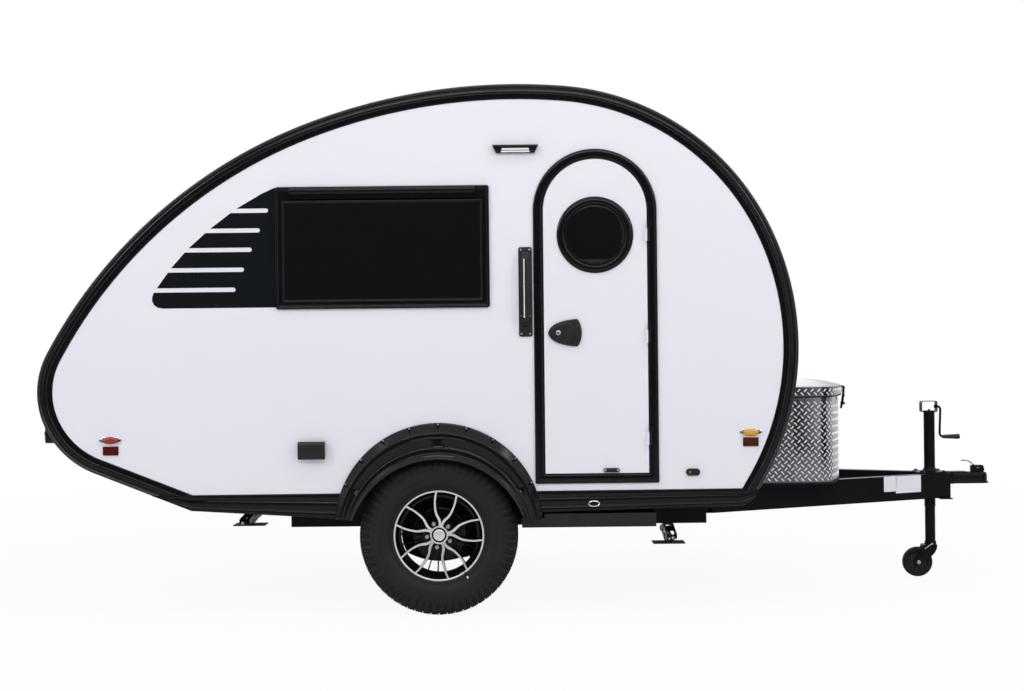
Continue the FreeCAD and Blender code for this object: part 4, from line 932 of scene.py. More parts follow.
def porchShapes():
    p = porchLamp
    section = np.array(p["hood"], float)
    rise = (section[:, 1] - p["lowUp"]) / (p["topUp"] - p["lowUp"])
    half = (p["lowHalf"] + (p["topHalf"] - p["lowHalf"]) * rise) * mm
    middle = section.mean(0)
    rows = []
    for share, size in p["ends"]:
        ring = (middle + (section - middle) * size) * mm
        rows.append(gridOf(p["x"] + share * half, *ring.T))
    lens = extruded(p["lens"], p["x"], p["lensHalf"], 3)
    # the lens's ends lean with the hood's
    lens[..., 0] += (lens[..., 2] / mm - 1.5) * -0.2 * mm * np.sign(lens[..., 0] - p["x"])
    return [placedOnWall(np.stack(rows), p["z"])], [placedOnWall(lens, p["z"])]


def inletShapes():
    p = powerInlet
    x, z = p["x"], p["z"]
    body = placedOnWall(extruded(p["body"], x, p["bodyHalf"], 2), z)
    lid = placedOnWall(extruded(p["lid"], x, p["half"], 1.6), z)
    half, out, up = np.array(p["pin"]) * mm
    pin = tube([(x + k * half, sideY - out, z + up) for k in (-1, 0, 1)], 3 * mm, 12)
    return [body, lid, pin, plate(*p["flange"], onWall(x, z))]


handleBody, handleScrews, handleLamp = handleShapes()
porchHood, porchLens = porchShapes()
holdBack = {"x": 0.6745, "z": 0.647, "size": (0.065, 0.033, 0.0164), "screwAside": 0.014,
            "rim": [(0, 0), (0, 7), (1.2, 9.4), (3.4, 10.4), (6, 10), (8, 8.4)]}
holdX, holdZ = holdBack["x"], holdBack["z"]
holdShapes = [plate(*holdBack["size"], holdBack["rim"], onWall(holdX, holdZ), 10),
              softBox((holdX + 4 * mm, sideY - 14 * mm, holdZ - 4.5 * mm),
                      (holdX + 21 * mm, sideY - 8 * mm, holdZ + 4.5 * mm), 2 * mm)]
holdScrew = [dome((holdX - holdBack["screwAside"], sideY - 8.6 * mm, holdZ), 4 * mm, 2 * mm)]
makePiece("wall_fitting_set", [(grainedAbs, handleBody + inletShapes() + holdShapes), (glossAbs, porchHood),
                               (opalLens, porchLens + handleLamp), (zincSteel, handleScrews + holdScrew)],
          "trailer", ["wall_fittings"])


# Marker lamps: chromed oval bezel, domed lens on a dark foot, reflex reflector below

markers = {
    "bezel": (111, 37), "lens": (72, 31), "reflector": (72, 41), "earAside": 45,
    "bezelRim": [(0, 0), (0, 2), (0.8, 4.6), (2.6, 6.6), (5, 7.4), (8, 7)],
    "reflectorRim": [(0, 0), (0, 4.4), (0.8, 5.6), (2.2, 6), (3, 5.4)],
    "face": [(0, 4.6), (0, 6.2), (1.6, 7.2)], "faceIn": 4,
    # the lens stands on a foot that much larger, and swells as a sine over that turn
    "foot": [(0, 6), (0, 8.4), (1, 9)], "footOver": (6, 1), "swell": (8, 12), "swellTurn": 1.25,
    # x, lamp z, reflector z, is it at the front
    "places": [(-2.013, 0.821, 0.772, False), (0.943, 0.829, 0.784, True)]}
courtesyLamp = {"x": 0.216, "z": 0.506, "ring": (0.055, 0.031), "lens": (0.045, 0.021),
                "ringRim": [(0, 0), (0, 3.6), (1.2, 6), (3.2, 6.8), (5, 5.6), (5.6, 3), (5.6, 0)],
                "lensRim": [(0, 1), (0, 4), (2, 5.4), (5, 6)]}


def ellipseOutline(width, height, steps=48):
    return lambda inset: (np.array([width, height]) / 2 - inset) * onCircle(fullTurn(steps))


def markerShapes(x, lampZ, reflectorZ):
    place, low = onWall(x, lampZ), onWall(x, reflectorZ)
    bezel = raised(ellipseOutline(*np.array(markers["bezel"]) * mm), markers["bezelRim"], place)
    ears = [dome((x + side * markers["earAside"] * mm, sideY - 5.2 * mm, lampZ), 4.6 * mm, 3.4 * mm)
            for side in (-1, 1)]
    width, height = np.array(markers["lens"]) * mm
    over = np.array(markers["footOver"]) * mm
    foot = raised(ellipseOutline(width + over[0], height + over[1]), markers["foot"], place)
    turn, (base, rise) = np.linspace(0, markers["swellTurn"], 8), markers["swell"]
    swell = np.stack([height / 2 * (1 - np.cos(turn)) / mm, base + rise * np.sin(turn)], -1)
    lens = raised(ellipseOutline(width, height), swell, place)
    width, height = np.array(markers["reflector"]) * mm
    rim = plate(width, height, 0.004, markers["reflectorRim"], low)
    inset = markers["faceIn"] * mm
    face = plate(width - inset, height - inset, 0.003, markers["face"], low)
    return [bezel], ears + [foot], [lens], [rim, face]


bezels, lampDark, redParts, amberParts, darkRed, darkAmber = [], [], [], [], [], []
for x, lampZ, reflectorZ, front in markers["places"]:
    bezel, dark, lens, reflector = markerShapes(x, lampZ, reflectorZ)
    bezels += bezel
    lampDark += dark
    (amberParts if front else redParts).extend(lens)
    (darkAmber if front else darkRed).extend(reflector)
courtesyPlace = onWall(courtesyLamp["x"], courtesyLamp["z"])
bezels.append(framed(ellipseOutline(*courtesyLamp["ring"]), courtesyLamp["ringRim"], courtesyPlace))
courtesyLens = [raised(ellipseOutline(*courtesyLamp["lens"]), courtesyLamp["lensRim"], courtesyPlace)]
makePiece("marker_lamp_set", [(finish, bothSides(shapes)) for finish, shapes in (
    (chromeTrim, bezels), (sealRubber, lampDark), (redLens, redParts), (amberLens, amberParts),
    (darkRedLens, darkRed), (darkAmberLens, darkAmber), (smokedAcrylic, courtesyLens))],
          "trailer", ["marker_lamps"])


# Tail lamps: black housing on the rear wall, with a stop and a turn lens in chromed rings

tailLamp = {
    "y": 0.850, "z": 0.848, "width": 0.150, "height": 0.085, "rear": -2.351, "lensAside": 0.036,
    # sections (radius, how far behind the housing's face) in mm
    "ring": [(35, 0), (35, 3), (33.6, 5), (32, 5), (31, 3), (31, 0)],
    "lens": [(32, 0), (31.4, 3.4), (28, 6), (19, 8), (9, 9.4), (0, 9.8)]}


def tailShapes():
    lamp = tailLamp
    x, y, z = lamp["rear"] + 10 * mm, -lamp["y"], lamp["z"]
    width, height = lamp["width"] / 2, lamp["height"] / 2
    housing = softBox((x, y - width, z - height), (x + 45 * mm, y + width, z + height), 4 * mm, 9 * mm, 0)
    turners = [turnedAbout((x, y + side * lamp["lensAside"], z), 48, "x", -1) for side in (-1, 1)]
    rings = [turned(lamp["ring"], True) for turned in turners]
    return housing, rings, [[turned(lamp["lens"])] for turned in turners]


housing, lampRims, (stopLens, turnLens) = tailShapes()
makePiece("tail_lamp_set", [(glossAbs, bothSides([housing])), (chromeTrim, bothSides(lampRims)),
                            (redLens, bothSides(stopLens)), (amberLens, bothSides(turnLens))],
          "trailer", ["tail_lamps"])
print("lamps and fittings ready")


# Sill skirts: a moulding below the walls with a bull-nosed lower edge and two grooves

sill = {
    "top": (0.5642, 0.570), "topAt": (-1.5, 1.0), "axle": -0.501, "opening": 0.437,
    "rearFoot": (-0.963, 0.448), "frontFoot": (-0.019, 0.468),
    # (share of the height, off the wall in mm) from the bottom edge up
    "profile": [(0, -8), (0, 0), (0.01, 3.4), (0.05, 6), (0.11, 7.2), (0.18, 6.8), (0.24, 5), (0.265, 2.6),
                (0.29, 2), (0.31, 3.6), (0.34, 4.8), (0.45, 5.4), (0.58, 5.2), (0.63, 4.4), (0.65, 2.8),
                (0.67, 2.6), (0.69, 4), (0.73, 5), (0.85, 5.4), (0.95, 4.8), (0.985, 3.4), (1, 1.2),
                (1, -8)]}


def sillSide():
    share, out = np.array(sill["profile"]).T
    shapes = []
    lowest = np.argmin(bodyLine[:40, 1])
    rearCurve = bodyLine[lowest:np.argmax(bodyLine[:, 1] > sill["top"][0])][::-1]
    start = len(bodyLine) - 1 - np.argmax(bodyLine[::-1, 1] > sill["top"][1]) + 1
    frontCurve = bodyLine[start:][::-1]
    for curve, foot, end in ((rearCurve, sill["rearFoot"], sill["axle"] - sill["opening"]),
                             (frontCurve, sill["frontFoot"], sill["axle"] + sill["opening"])):
        edge = curve[np.argsort(curve[:, 0])]
        edge = np.concatenate([edge, [foot]] if end < sill["axle"] else [[foot], edge])
        x = np.unique(np.concatenate([np.linspace(edge[:, 0].min(), edge[:, 0].max(), 60), edge[:, 0],
                                      np.linspace(edge[:, 0].max() - 0.12, edge[:, 0].max(), 24), [end]]))
        x = x[x <= end] if end < sill["axle"] else x[x >= end]
        high = np.interp(x, sill["topAt"], sill["top"])
        low = np.minimum(np.interp(x, edge[:, 0], edge[:, 1]), high - 0.0004)
        up = low[:, None] + share * (high - low)[:, None]
        shapes.append(surface(x[:, None], sideY - out * mm, up))
    return shapes


makePiece("sill_skirt", [(glossAbs, bothSides(sillSide()))], "trailer", ["side_skirts"])


# Fender flares: a riveted flange against the wall, a raised body with two long pockets, and a rolled lip

fender = {
    "axle": -0.501, "foot": 0.448, "outer": (0.404, 0.482), "lip": (0.307, 0.414), "wall": 5,
    # (share of the way from the outer edge to the lip, off the wall in mm)
    "profile": [(0.0, 0.5), (0.0, 7), (0.008, 10), (0.03, 13), (0.06, 16), (0.10, 20), (0.14, 24),
                (0.18, 28), (0.22, 32), (0.25, 35), (0.262, 36.5), (0.27, 42), (0.278, 46), (0.285, 47),
                (0.33, 47.6), (0.37, 48.2), (0.392, 48.8), (0.40, 51), (0.408, 53), (0.42, 53.6),
                (0.50, 55.4), (0.60, 58), (0.66, 59.6), (0.672, 61), (0.682, 66), (0.69, 68), (0.70, 68.6),
                (0.75, 70), (0.80, 71.4), (0.83, 72.4), (0.842, 75), (0.85, 79), (0.862, 81), (0.90, 82.4),
                (0.95, 83.8), (0.985, 84.2), (0.995, 83.2), (1.0, 80.6), (1.0, 66)],
    "pocket": (0.408, 0.672), "pocketDepth": 15, "pocketEnds": (0.102, 0.480),
    # rivets from the first to the last, as shares of the arch, each in a notch of that half width
    "rivets": (0.1185, 0.8815, 9), "rivetIn": 8, "notch": 15, "notchDeep": 0.36, "notchSlope": 0.56,
    "inside": [0.9, 0.75, 0.6, 0.45, 0.32, 0.26, 0.12, 0],      # shares kept on the hollow side
    "beads": ((0.112, 0.474), (0.526, 0.888)), "beadShare": 0.69,
    "band": [(0.868, 84), (0.872, 84.8), (0.92, 84.9), (0.97, 84.8), (0.974, 84)]}


def smoothStep(low, high, x):
    t = np.clip((x - low) / (high - low), 0, 1)
    return t * t * (3 - 2 * t)


def fenderSide():
    f = fender
    rough = np.array(f["profile"])
    share = np.unique(np.round(np.concatenate([rough[:, 0], np.linspace(0.01, 0.36, 24),
                                               np.linspace(0.66, 0.71, 8)]), 4))
    out = np.interp(share, rough[1:-1, 0], rough[1:-1, 1])
    share, out = np.concatenate([[0], share, [1]]), np.concatenate([rough[:1, 1], out, rough[-1:, 1]])
    spots = np.linspace(*f["rivets"])
    u = np.unique(np.concatenate([np.linspace(0, 1, 201)] + [spot + np.linspace(-0.0115, 0.0115, 21)
                                                             for spot in spots]))[:, None]

    def ring(circle):
        middle, radius = circle
        rise = np.arcsin((f["foot"] - middle) / radius)
        angle = rise + u * (np.pi - 2 * rise)
        return f["axle"] - radius * np.cos(angle), middle + radius * np.sin(angle)
    outerX, outerZ = ring(f["outer"])
    lipX, lipZ = ring(f["lip"])
    x = outerX + share * (lipX - outerX)
    z = outerZ + share * (lipZ - outerZ)
    reach = out * mm + 0 * x
    low, high = f["pocket"]
    half = np.abs(u - 0.5)
    ends = smoothStep(0.5 - f["pocketEnds"][1] - 0.001, 0.5 - f["pocketEnds"][1] + 0.004, half)
    ends = ends * (1 - smoothStep(0.5 - f["pocketEnds"][0] - 0.03, 0.5 - f["pocketEnds"][0], half))
    # each pocket deepens downward from a soft upper edge and ends in a sharp lower lip
    sunk = np.clip((share - low) / (high - low), 0, 1) * (1 - smoothStep(high, high + 0.008, share))
    reach = reach - f["pocketDepth"] * mm * ends * sunk
    length = distances(np.concatenate([outerX, outerZ], 1))
    places = spots * length[-1]
    inward = share * np.hypot(lipX - outerX, lipZ - outerZ)
    aside = np.min(np.abs(length[:, None] - places), axis=1)[:, None]
    notch = 1 - smoothStep(-0.8 * mm, 0.8 * mm, aside + inward * f["notchSlope"] - f["notch"] * mm)
    reach = np.where(share <= f["notchDeep"], reach - (reach - 2.5 * mm).clip(0) * notch, reach)
    outer = np.stack([x, sideY - reach, z], -1)
    few = np.searchsorted(share, f["inside"])
    inner = np.stack([x[:, few], sideY - (reach - f["wall"] * mm).clip(0.3 * mm)[:, few],
                      (z - f["wall"] * mm * (u > 0) * (u < 1))[:, few]], -1)
    body = skinOf(np.concatenate([outer, inner], axis=1))
    # bead under each pocket, and a band just proud of the lip, both in the greyer ABS: painted highlights
    # along them
    beads = []
    for low, high in f["beads"]:
        turn = np.linspace(low, high, 40)
        spot = [np.interp(turn, u[:, 0], (edge + f["beadShare"] * (lip - edge))[:, 0])
                for edge, lip in ((outerX, lipX), (outerZ, lipZ))]
        beads.append(tube(gridOf(spot[0], sideY - 69 * mm, spot[1]), 2.2 * mm, 8))
    inside, proud = np.array(f["band"]).T
    bandX, bandZ = [(edge + inside * (lip - edge))[::4] for edge, lip in ((outerX, lipX), (outerZ, lipZ))]
    beads.append(surface(bandX, sideY - proud * mm, bandZ))
    rivets = []
    for place in places:
        edgeX, edgeZ = np.interp(place, length, outerX[:, 0]), np.interp(place, length, outerZ[:, 0])
        inwardX, inwardZ = f["axle"] - edgeX, f["outer"][0] - edgeZ
        step = f["rivetIn"] * mm / np.hypot(inwardX, inwardZ)
        rivets.append(dome((edgeX + inwardX * step, sideY - 4.6 * mm, edgeZ + inwardZ * step),
                           4.8 * mm, 4.6 * mm))
    return [body], beads, rivets


flareBody, flareBeads, flareRivets = fenderSide()
makePiece("fender_flare", [(satinAbs, bothSides(flareBody)), (highlightAbs, bothSides(flareBeads)),
                           (zincSteel, bothSides(flareRivets))],
          "trailer", ["fender_flares"], crease=50)
print("skirts and flares ready")


# Road wheels: a light-alloy rim with five pairs of slim spokes, turned faces over gloss black

wheel = {
    "axle": -0.501, "height": 0.3665, "rimOut": 1.0195, "pairTurn": 79.5,
    # spoke's middle line as (along the pair's axis, aside, behind the rim's outer edge) in mm
    "spoke": [(203, 47.5, 3), (192, 47.8, 4), (158, 46.8, 9), (138, 43.5, 13), (120, 39.4, 17),
              (104, 34, 20), (92, 28, 22), (82, 21, 24), (72, 13.4, 26), (60, 7.4, 28), (48, 5.4, 30),
              (38, 5, 31)],
    "spokeHalf": [4.2, 4.2, 4.4, 4.6, 4.9, 5.1, 5.4, 5.8, 6.4, 6.0, 5.6, 5.6],
    # spoke sections (aside in half widths, behind in mm): one foot to the other, and the turned face
    "spokeBody": [(1.5, 26), (1.16, 14), (1.02, 3), (0.98, 1.2), (-0.98, 1.2), (-1.02, 3), (-1.16, 14),
                  (-1.5, 26)],
    "spokeFace": [(0.96, 1.4), (0.90, 0.1), (0.80, 0), (-0.80, 0), (-0.90, 0.1), (-0.96, 1.4)],
    # rim barrel section (radius, behind the outer edge), closed
    "barrel": [(209.6, 0.8), (209, 0), (206, 0), (203.4, 0.8), (202, 3), (199.6, 9), (197, 14), (194, 18),
               (190, 22), (187.6, 30), (187, 44), (184.6, 50), (182.6, 62), (182, 96), (182.6, 130),
               (186, 150), (190, 164), (196, 172), (204, 177), (208, 178), (208.6, 172), (200, 168),
               (194, 158), (190.6, 140), (190, 60), (190.6, 30), (194.4, 22), (200, 17), (204, 12),
               (208, 6)],
    "face": [(208.8, -0.3), (208.8, 0.6), (201.4, 1.8), (201.6, 0.8), (203, -0.1), (205.6, -0.5)],
    # turned parts behind the spokes (radius, behind the outer edge)
    "hub": [(0, 30), (30, 30), (44, 32), (60, 35), (78, 38), (80, 42), (80, 66), (0, 66)],
    "web": [(176, 26), (187, 24), (187, 52), (176, 50)],
    "drum": [(0, 66), (118, 66), (123, 68), (125, 72), (125, 88), (121, 90), (121, 100), (125, 102),
             (125, 124), (122, 128), (117, 128), (117, 78), (0, 78)],
    "capRing": [(42, 34), (42, 25), (41, 23.6), (36, 23.6), (34.6, 25), (34.6, 34)],
    "capBlack": [(34.8, 33), (34.8, 25), (33, 24.4), (28, 24.4), (27, 26), (0, 26), (0, 33)],
    "capDome": [(26.6, 27), (26.4, 23), (24, 21.6), (12, 20.6), (0, 20.2)],
    "studs": 57, "studTurn": 43.5, "nut": [(10, 38), (10, 21), (9.2, 18.6), (6.4, 17.6), (5.6, 18.4)],
    "well": [(15.5, 38), (15.5, 29), (14.6, 28), (12.6, 28), (12, 29), (12, 38)],
    # pairs of ribs: lean in degrees, then (distance, front face, half thickness), all as deep
    "ribLean": 7.6, "ribs": [(70, 40, 3.6), (110, 46, 3.0), (150, 56, 2.8), (184, 64, 3.4)], "ribDeep": 22,
    "valveTurn": -55.5, "valve": [(196, 12), (207, 2), (219, -6), (228, -12)]}
tyreShape = {
    "middle": 0.9305, "pitches": 60,
    # half section (radius, out from the middle plane) from the bead to the crown
    "half": [(192, 50), (192, 63), (196.5, 69), (202, 73.4), (206.5, 79), (209.4, 84.5), (210.5, 87.2),
             (213, 89.6), (217, 92.4), (221, 93.2), (224, 93.6), (226, 97), (232, 103), (240, 108.4),
             (249, 112.6), (259, 115.4), (262, 115.6), (263, 116.6), (266, 116.9), (267, 116),
             (276, 117), (288, 117.2), (300, 116.2), (301, 117.2), (304, 117), (305, 115.8),
             (314, 113.6), (322, 111), (328, 108.6), (334, 105.2), (342, 100.6), (350, 93.4),
             (356.4, 83.4), (360.4, 70), (361, 50), (361.2, 25), (361.2, 0)],
    # a lug's foot is that much wider than its top; each side is turned its own way by that share of a pitch
    "spread": 1.12, "shift": 0.25,
    # lugs of one side: radii, outs, how deep, then in pitches half width, slant as (the same on
    # both sides, opposite on the other side) and start
    "lugs": [([366.2, 365.6, 361.8, 354, 345, 335, 324, 313, 304],
              [66, 78, 88, 97.6, 104.6, 110.8, 114.4, 116.4, 117.4], 9, 0.29, (0.10, 0), 0),
             ([366.2, 365.4, 361, 353.4, 344, 333, 322],
              [70, 79, 88.8, 98, 105, 111.6, 114.6], 9, 0.10, (0.10, 0), 0.5),
             ([366.4] * 3, [34, 47, 61], 10, 0.33, (0, 0.24), 0),
             ([366.4] * 3, [4, 16, 29], 10, 0.36, (0, -0.3), 0.4)]}


def polarShape(theta, radius, out, faces, count, phase=0.0):
    # the same small block repeated evenly round the axle
    turn = np.arange(count)[:, None] * 2 * np.pi / count + phase
    angle = turn + np.array(theta)
    points = np.stack([wheel["axle"] + np.array(radius) * mm * np.cos(angle),
                       -tyreShape["middle"] - np.array(out) * mm + 0 * angle,
                       wheel["height"] + np.array(radius) * mm * np.sin(angle)], -1).reshape(-1, 3)
    blocks = []
    for block in faces:
        block = np.array(block)
        shift = np.arange(count)[:, None, None] * len(theta)
        blocks.append((block[None] + shift).reshape(-1, block.shape[1]))
    return points, blocks


def boxFaces(rows):
    # closed strip of quads round a lug: outer skin, both flanks, inner skin and the two ends
    outer, inner = np.arange(rows), np.arange(rows) + 2 * rows
    a, b = np.arange(rows - 1), np.arange(1, rows)
    left, right = outer, outer + rows
    lowLeft, lowRight = inner, inner + rows
    quads = [np.stack([left[a], left[b], right[b], right[a]], -1),
             np.stack([lowLeft[a], lowRight[a], lowRight[b], lowLeft[b]], -1),
             np.stack([left[a], lowLeft[a], lowLeft[b], left[b]], -1),
             np.stack([right[a], right[b], lowRight[b], lowRight[a]], -1)]
    ends = [[left[0], right[0], lowRight[0], lowLeft[0]], [left[-1], lowLeft[-1], lowRight[-1], right[-1]]]
    return [np.concatenate(quads + [np.array(ends)])]


def lug(radii, outs, sink, halfTurn, slant, count, phase):
    # a tread or shoulder block: its top follows (radius, out), its flanks lean by slant along the way
    radii, outs = np.array(radii, float), np.array(outs, float)
    lean = np.linspace(0, slant, len(radii))
    half, wide = halfTurn, halfTurn * tyreShape["spread"]
    theta = np.concatenate([lean - half, lean + half, lean - wide, lean + wide])
    flat = np.stack([radii, outs], -1)
    ahead = np.gradient(flat, axis=0)
    low = flat + unit(np.stack([-np.abs(ahead[:, 1]), -np.abs(ahead[:, 0]) * np.sign(outs)], -1)) * sink
    radius, out = np.concatenate([flat, flat, low, low]).T
    return polarShape(theta, radius, out, boxFaces(len(radii)), count, phase)


def tyreShapes():
    centre = np.array([wheel["axle"], -tyreShape["middle"], wheel["height"]])
    half = np.array(tyreShape["half"], float)
    whole = np.concatenate([half, (half[:-1] * [1, -1])[::-1]])
    carcass = turnedAbout(centre, 128, outward=-1)(whole, True)
    count = tyreShape["pitches"]
    step = 2 * np.pi / count
    lugs = [lug(radii, side * np.array(outs), deep, width * step, (lean + turning * side) * step, count,
                (tyreShape["shift"] * side + start) * step)
            for side in (1, -1) for radii, outs, deep, width, (lean, turning), start in tyreShape["lugs"]]
    return [carcass] + lugs


def spokeShapes():
    # five pairs, each spoke the mirror image of its partner
    path = smoothCurve(wheel["spoke"], 44) * mm
    share = np.linspace(0, 1, len(wheel["spokeHalf"]))
    half = np.interp(np.linspace(0, 1, 44), share, wheel["spokeHalf"]) * mm
    ahead = heading(path[:, :2])
    side = np.stack([-ahead[:, 1], ahead[:, 0]], -1)
    shapes = {"spokeBody": [], "spokeFace": []}
    for k in range(5):
        axis = np.radians(wheel["pairTurn"] - 72 * k)
        along, aside = onCircle(np.array([axis, axis - quarterTurn]))
        for hand in (-1, 1):
            for name in shapes:
                section = np.array(wheel[name])
                flat = path[:, None, :2] + side[:, None] * (section[None, :, :1] * half[:, None, None])
                spot = flat[..., :1] * along + hand * flat[..., 1:] * aside
                behind = path[:, 2:] + section[None, :, 1] * mm
                shapes[name].append(surface(wheel["axle"] + spot[..., 0], behind - wheel["rimOut"],
                                            wheel["height"] + spot[..., 1]))
    return shapes


def rimShapes():
    w = wheel
    centre = np.array([w["axle"], -w["rimOut"], w["height"]])
    turned = turnedAbout(centre, 96)
    black = [turned(w["barrel"], True, 128), turned(w["hub"]), turned(w["web"], True), turned(w["drum"]),
             turned(w["capBlack"], steps=64)]
    bright = [turned(w["face"], True, 128), turned(w["capRing"], True, 64), turned(w["capDome"], steps=64)]
    zinc = []
    for k in range(5):
        middle = np.radians(w["studTurn"] - 72 * k)
        spot = centre + np.array([np.cos(middle), 0, np.sin(middle)]) * w["studs"] * mm
        flat = onCircle(fullTurn(6)).T
        zinc.append(skinOf([spot + gridOf(radius * flat[0], depth, radius * flat[1]) * mm
                            for radius, depth in w["nut"]]))
        black.append(turnedAbout(spot, 32)(w["well"], True))
    for k in range(5):
        for lean in (-w["ribLean"], w["ribLean"]):
            black.append(radialRib(centre, np.radians(w["studTurn"] - 72 * k + lean), [
                (reach, [(-thick, front), (-thick / 2, front - 2), (thick / 2, front - 2), (thick, front),
                         (thick, front + w["ribDeep"]), (-thick, front + w["ribDeep"])])
                for reach, front, thick in w["ribs"]]))
    turn = np.radians(w["valveTurn"])
    valve = [centre + np.array([np.cos(turn) * r, y, np.sin(turn) * r]) * mm for r, y in w["valve"]]
    zinc.append(tube(valve[-1] + (valve[-1] - valve[-2]) * np.array([[0], [0.7], [1.1]]), 6.4 * mm, 14))
    return black, bright, zinc, [tube(valve, 3.4 * mm, 12)]


tyreParts = tyreShapes()
spokes = spokeShapes()
rimBlack, rimTurned, rimZinc, rimRubber = rimShapes()
# the turned rim and spoke faces carry the alloy's painted sheen
rimLayers = [(wheelPaint, rimBlack + spokes["spokeBody"]), (turnedAlloyPaintedSheen, rimTurned + spokes["spokeFace"]),
             (zincSteel, rimZinc), (sealRubber, rimRubber)]
for side, flip in (("right", lambda shape: shape), ("left", mirrored)):
    makePiece("tyre_" + side + "_tread", [(tyreRubber, [flip(s) for s in tyreParts])], "wheel_" + side,
              ["tyre_" + side], crease=40)
    makePiece("rim_" + side, [(finish, [flip(s) for s in shapes]) for finish, shapes in rimLayers],
              "wheel_" + side, ["wheel_" + side])

# Backing plate behind each drum: round, with a flatter lower edge z = -134 + 0.0017 x^2 (mm)
backing = {"edge": (-152, 138), "low": -134, "curve": 0.0017, "radius": 180.4,
           "cuts": [(-0.8905, 0.99), (-0.8895, 1), (-0.880, 1), (-0.878, 0.99)]}


def backingPlate():
    lowX = np.linspace(*backing["edge"], 25)
    lowZ = backing["low"] + backing["curve"] * lowX ** 2
    ends = np.arctan2(lowZ[-1], lowX[-1]), np.arctan2(lowZ[0], lowX[0]) + 2 * np.pi
    turn = np.linspace(*ends, 60)[1:-1]
    arc = backing["radius"] * onCircle(turn)
    middle = np.array([wheel["axle"], wheel["height"]])
    return slab(middle + np.concatenate([np.stack([lowX, lowZ], -1), arc]) * mm, backing["cuts"], middle)


makePiece("backing_plates", [(powderCoat, bothSides([backingPlate()]))], "trailer")
print("wheels ready")


# Front tub: bright tread plate folded into a D plan, with a lid, a gasket and a rubber strap latch

tub = {
    "back": 1185, "half": 600, "rearCorner": 30, "corner": 110, "noseCentre": 260.4,
    "noseRadius": 1282.6, "cornerCentre": (1325.7, 490), "noseTurn": 24.70,
    "hinge": (1189, 1010), "hingeHalf": 515,
    # the wall's nose stands that far behind the lid's, more and more from x over that length
    "noseBack": (11, 1325, 190),
    # raised bars (mm): half length, half width, height, column and row pitch
    "bar": (12.2, 4.1, 2.0), "pitch": (16.3, 34.0), "clear": 6,
    # a bar's six-sided foot and its ridge, as shares of its half length and half width
    "barFoot": [(1, 0), (0.6, 0.9), (-0.6, 0.9), (-1, 0), (-0.6, -0.9), (0.6, -0.9)],
    "barRidge": (0.86, 0.7),
    # sections round the plan, (grow, z)
    "shell": [(-4, 551), (-4, 970), (-3.4, 974), (-0.4, 974), (0, 973), (0, 551), (-0.6, 548), (-2, 547)],
    "foot": [(0.4, 547.6), (3.6, 547.6), (4.2, 548.4), (4.2, 555.4), (3.6, 556), (0.4, 556.2)],
    "lid": [(2, 1018), (2, 978), (2.4, 976), (5.6, 976), (6, 977), (6, 1021.4), (5.4, 1023.4),
            (4.2, 1024.6)],
    "gasket": [(2.2, 976.4), (2.2, 973.6), (3.4, 972.6), (6.6, 972.6), (7.4, 973.4), (7.4, 977.2),
               (6.4, 978)],
    "lidBand": [(5.6, 979.4), (6.6, 979.8), (6.6, 1020.2), (5.6, 1020.6)],
    # crown: middle, grow, low, rise; bars on the shell and on the lid's rim: grow, low, high, first x
    "crown": ((1364, 0), 4.2, 1024.6, 24.2), "shellBars": (0, 553, 966), "lidBars": (6.6, 972, 1026, 1222),
    "backEdge": ((1.185, -0.5, 0.930), (1.189, 0.5, 1.001)),
    "crownShares": [1, 0.985, 0.96, 0.92, 0.86, 0.78, 0.68, 0.56, 0.42, 0.26, 0.1]}


def tubPlan(grow, fine=1):
    # closed D loop in mm, anticlockwise from the right side's front corner, grown outward
    t = tub
    (x, y), turn, rear = t["cornerCentre"], t["noseTurn"], t["rearCorner"]
    # arcs: middle, radius, first and last angle, steps
    parts = [((x, -y), t["corner"], -90, -turn, 10),
             ((t["noseCentre"], 0), t["noseRadius"], -turn, turn, 60),
             ((x, y), t["corner"], turn, 90, 10),
             ((t["back"] + rear, t["half"] - rear), rear, 90, 180, 6),
             ((t["back"] + rear, rear - t["half"]), rear, 180, 270, 6)]
    loop = [middle + (radius + grow) * onCircle(np.radians(np.linspace(start, end, steps * fine + 1)))
            for middle, radius, start, end, steps in parts]
    rear = np.array([515.5, 514.5, 200, -200, -514.5, -515.5])
    loop.insert(4, np.stack([np.full(len(rear), t["back"] - grow), rear], -1))
    plan = np.concatenate(loop)
    if grow < 5:     # walls only
        most, start, length = t["noseBack"]
        plan[:, 0] -= most * np.clip((plan[:, 0] - start) / length, 0, 1)
    return plan


def planRows(rows, raiseRear=None):
    # rows of (grow, z) in mm; the rear wall between the hinges starts at raiseRear where given
    rings = []
    for grow, z in rows:
        plan = tubPlan(grow)
        height = np.full(len(plan), float(z))
        if raiseRear:
            rear = (plan[:, 0] < tub["back"] + 8) & (np.abs(plan[:, 1]) < tub["hingeHalf"])
            height = np.where(rear, np.maximum(height, raiseRear), height)
        rings.append(np.column_stack([plan, height]) * mm)
    return skinOf(rings)


def crownRows(middle, grow, low, rise):
    # the lid's plan drawn in to its middle, at height low + rise * (1 - share ^ 2.2)
    plan = tubPlan(grow)
    return skinOf([gridOf(*(middle + (plan - middle) * share).T, low + rise * (1 - share ** 2.2)) * mm
                   for share in tub["crownShares"]])


wing = {"back": 1.005, "front": 1.217, "low": 0.547, "high": 0.971, "clear": 4.0, "thick": 3.0, "lip": 8.6}


def wingEdge(z):
    # the side plates' rear edge follows the body's front wall, a few millimetres off it
    top = int(np.argmax(bodyLine[:, 1]))
    front = np.interp(-z, -bodyLine[top:, 1], bodyLine[top:, 0])
    return front + wing["clear"] * mm


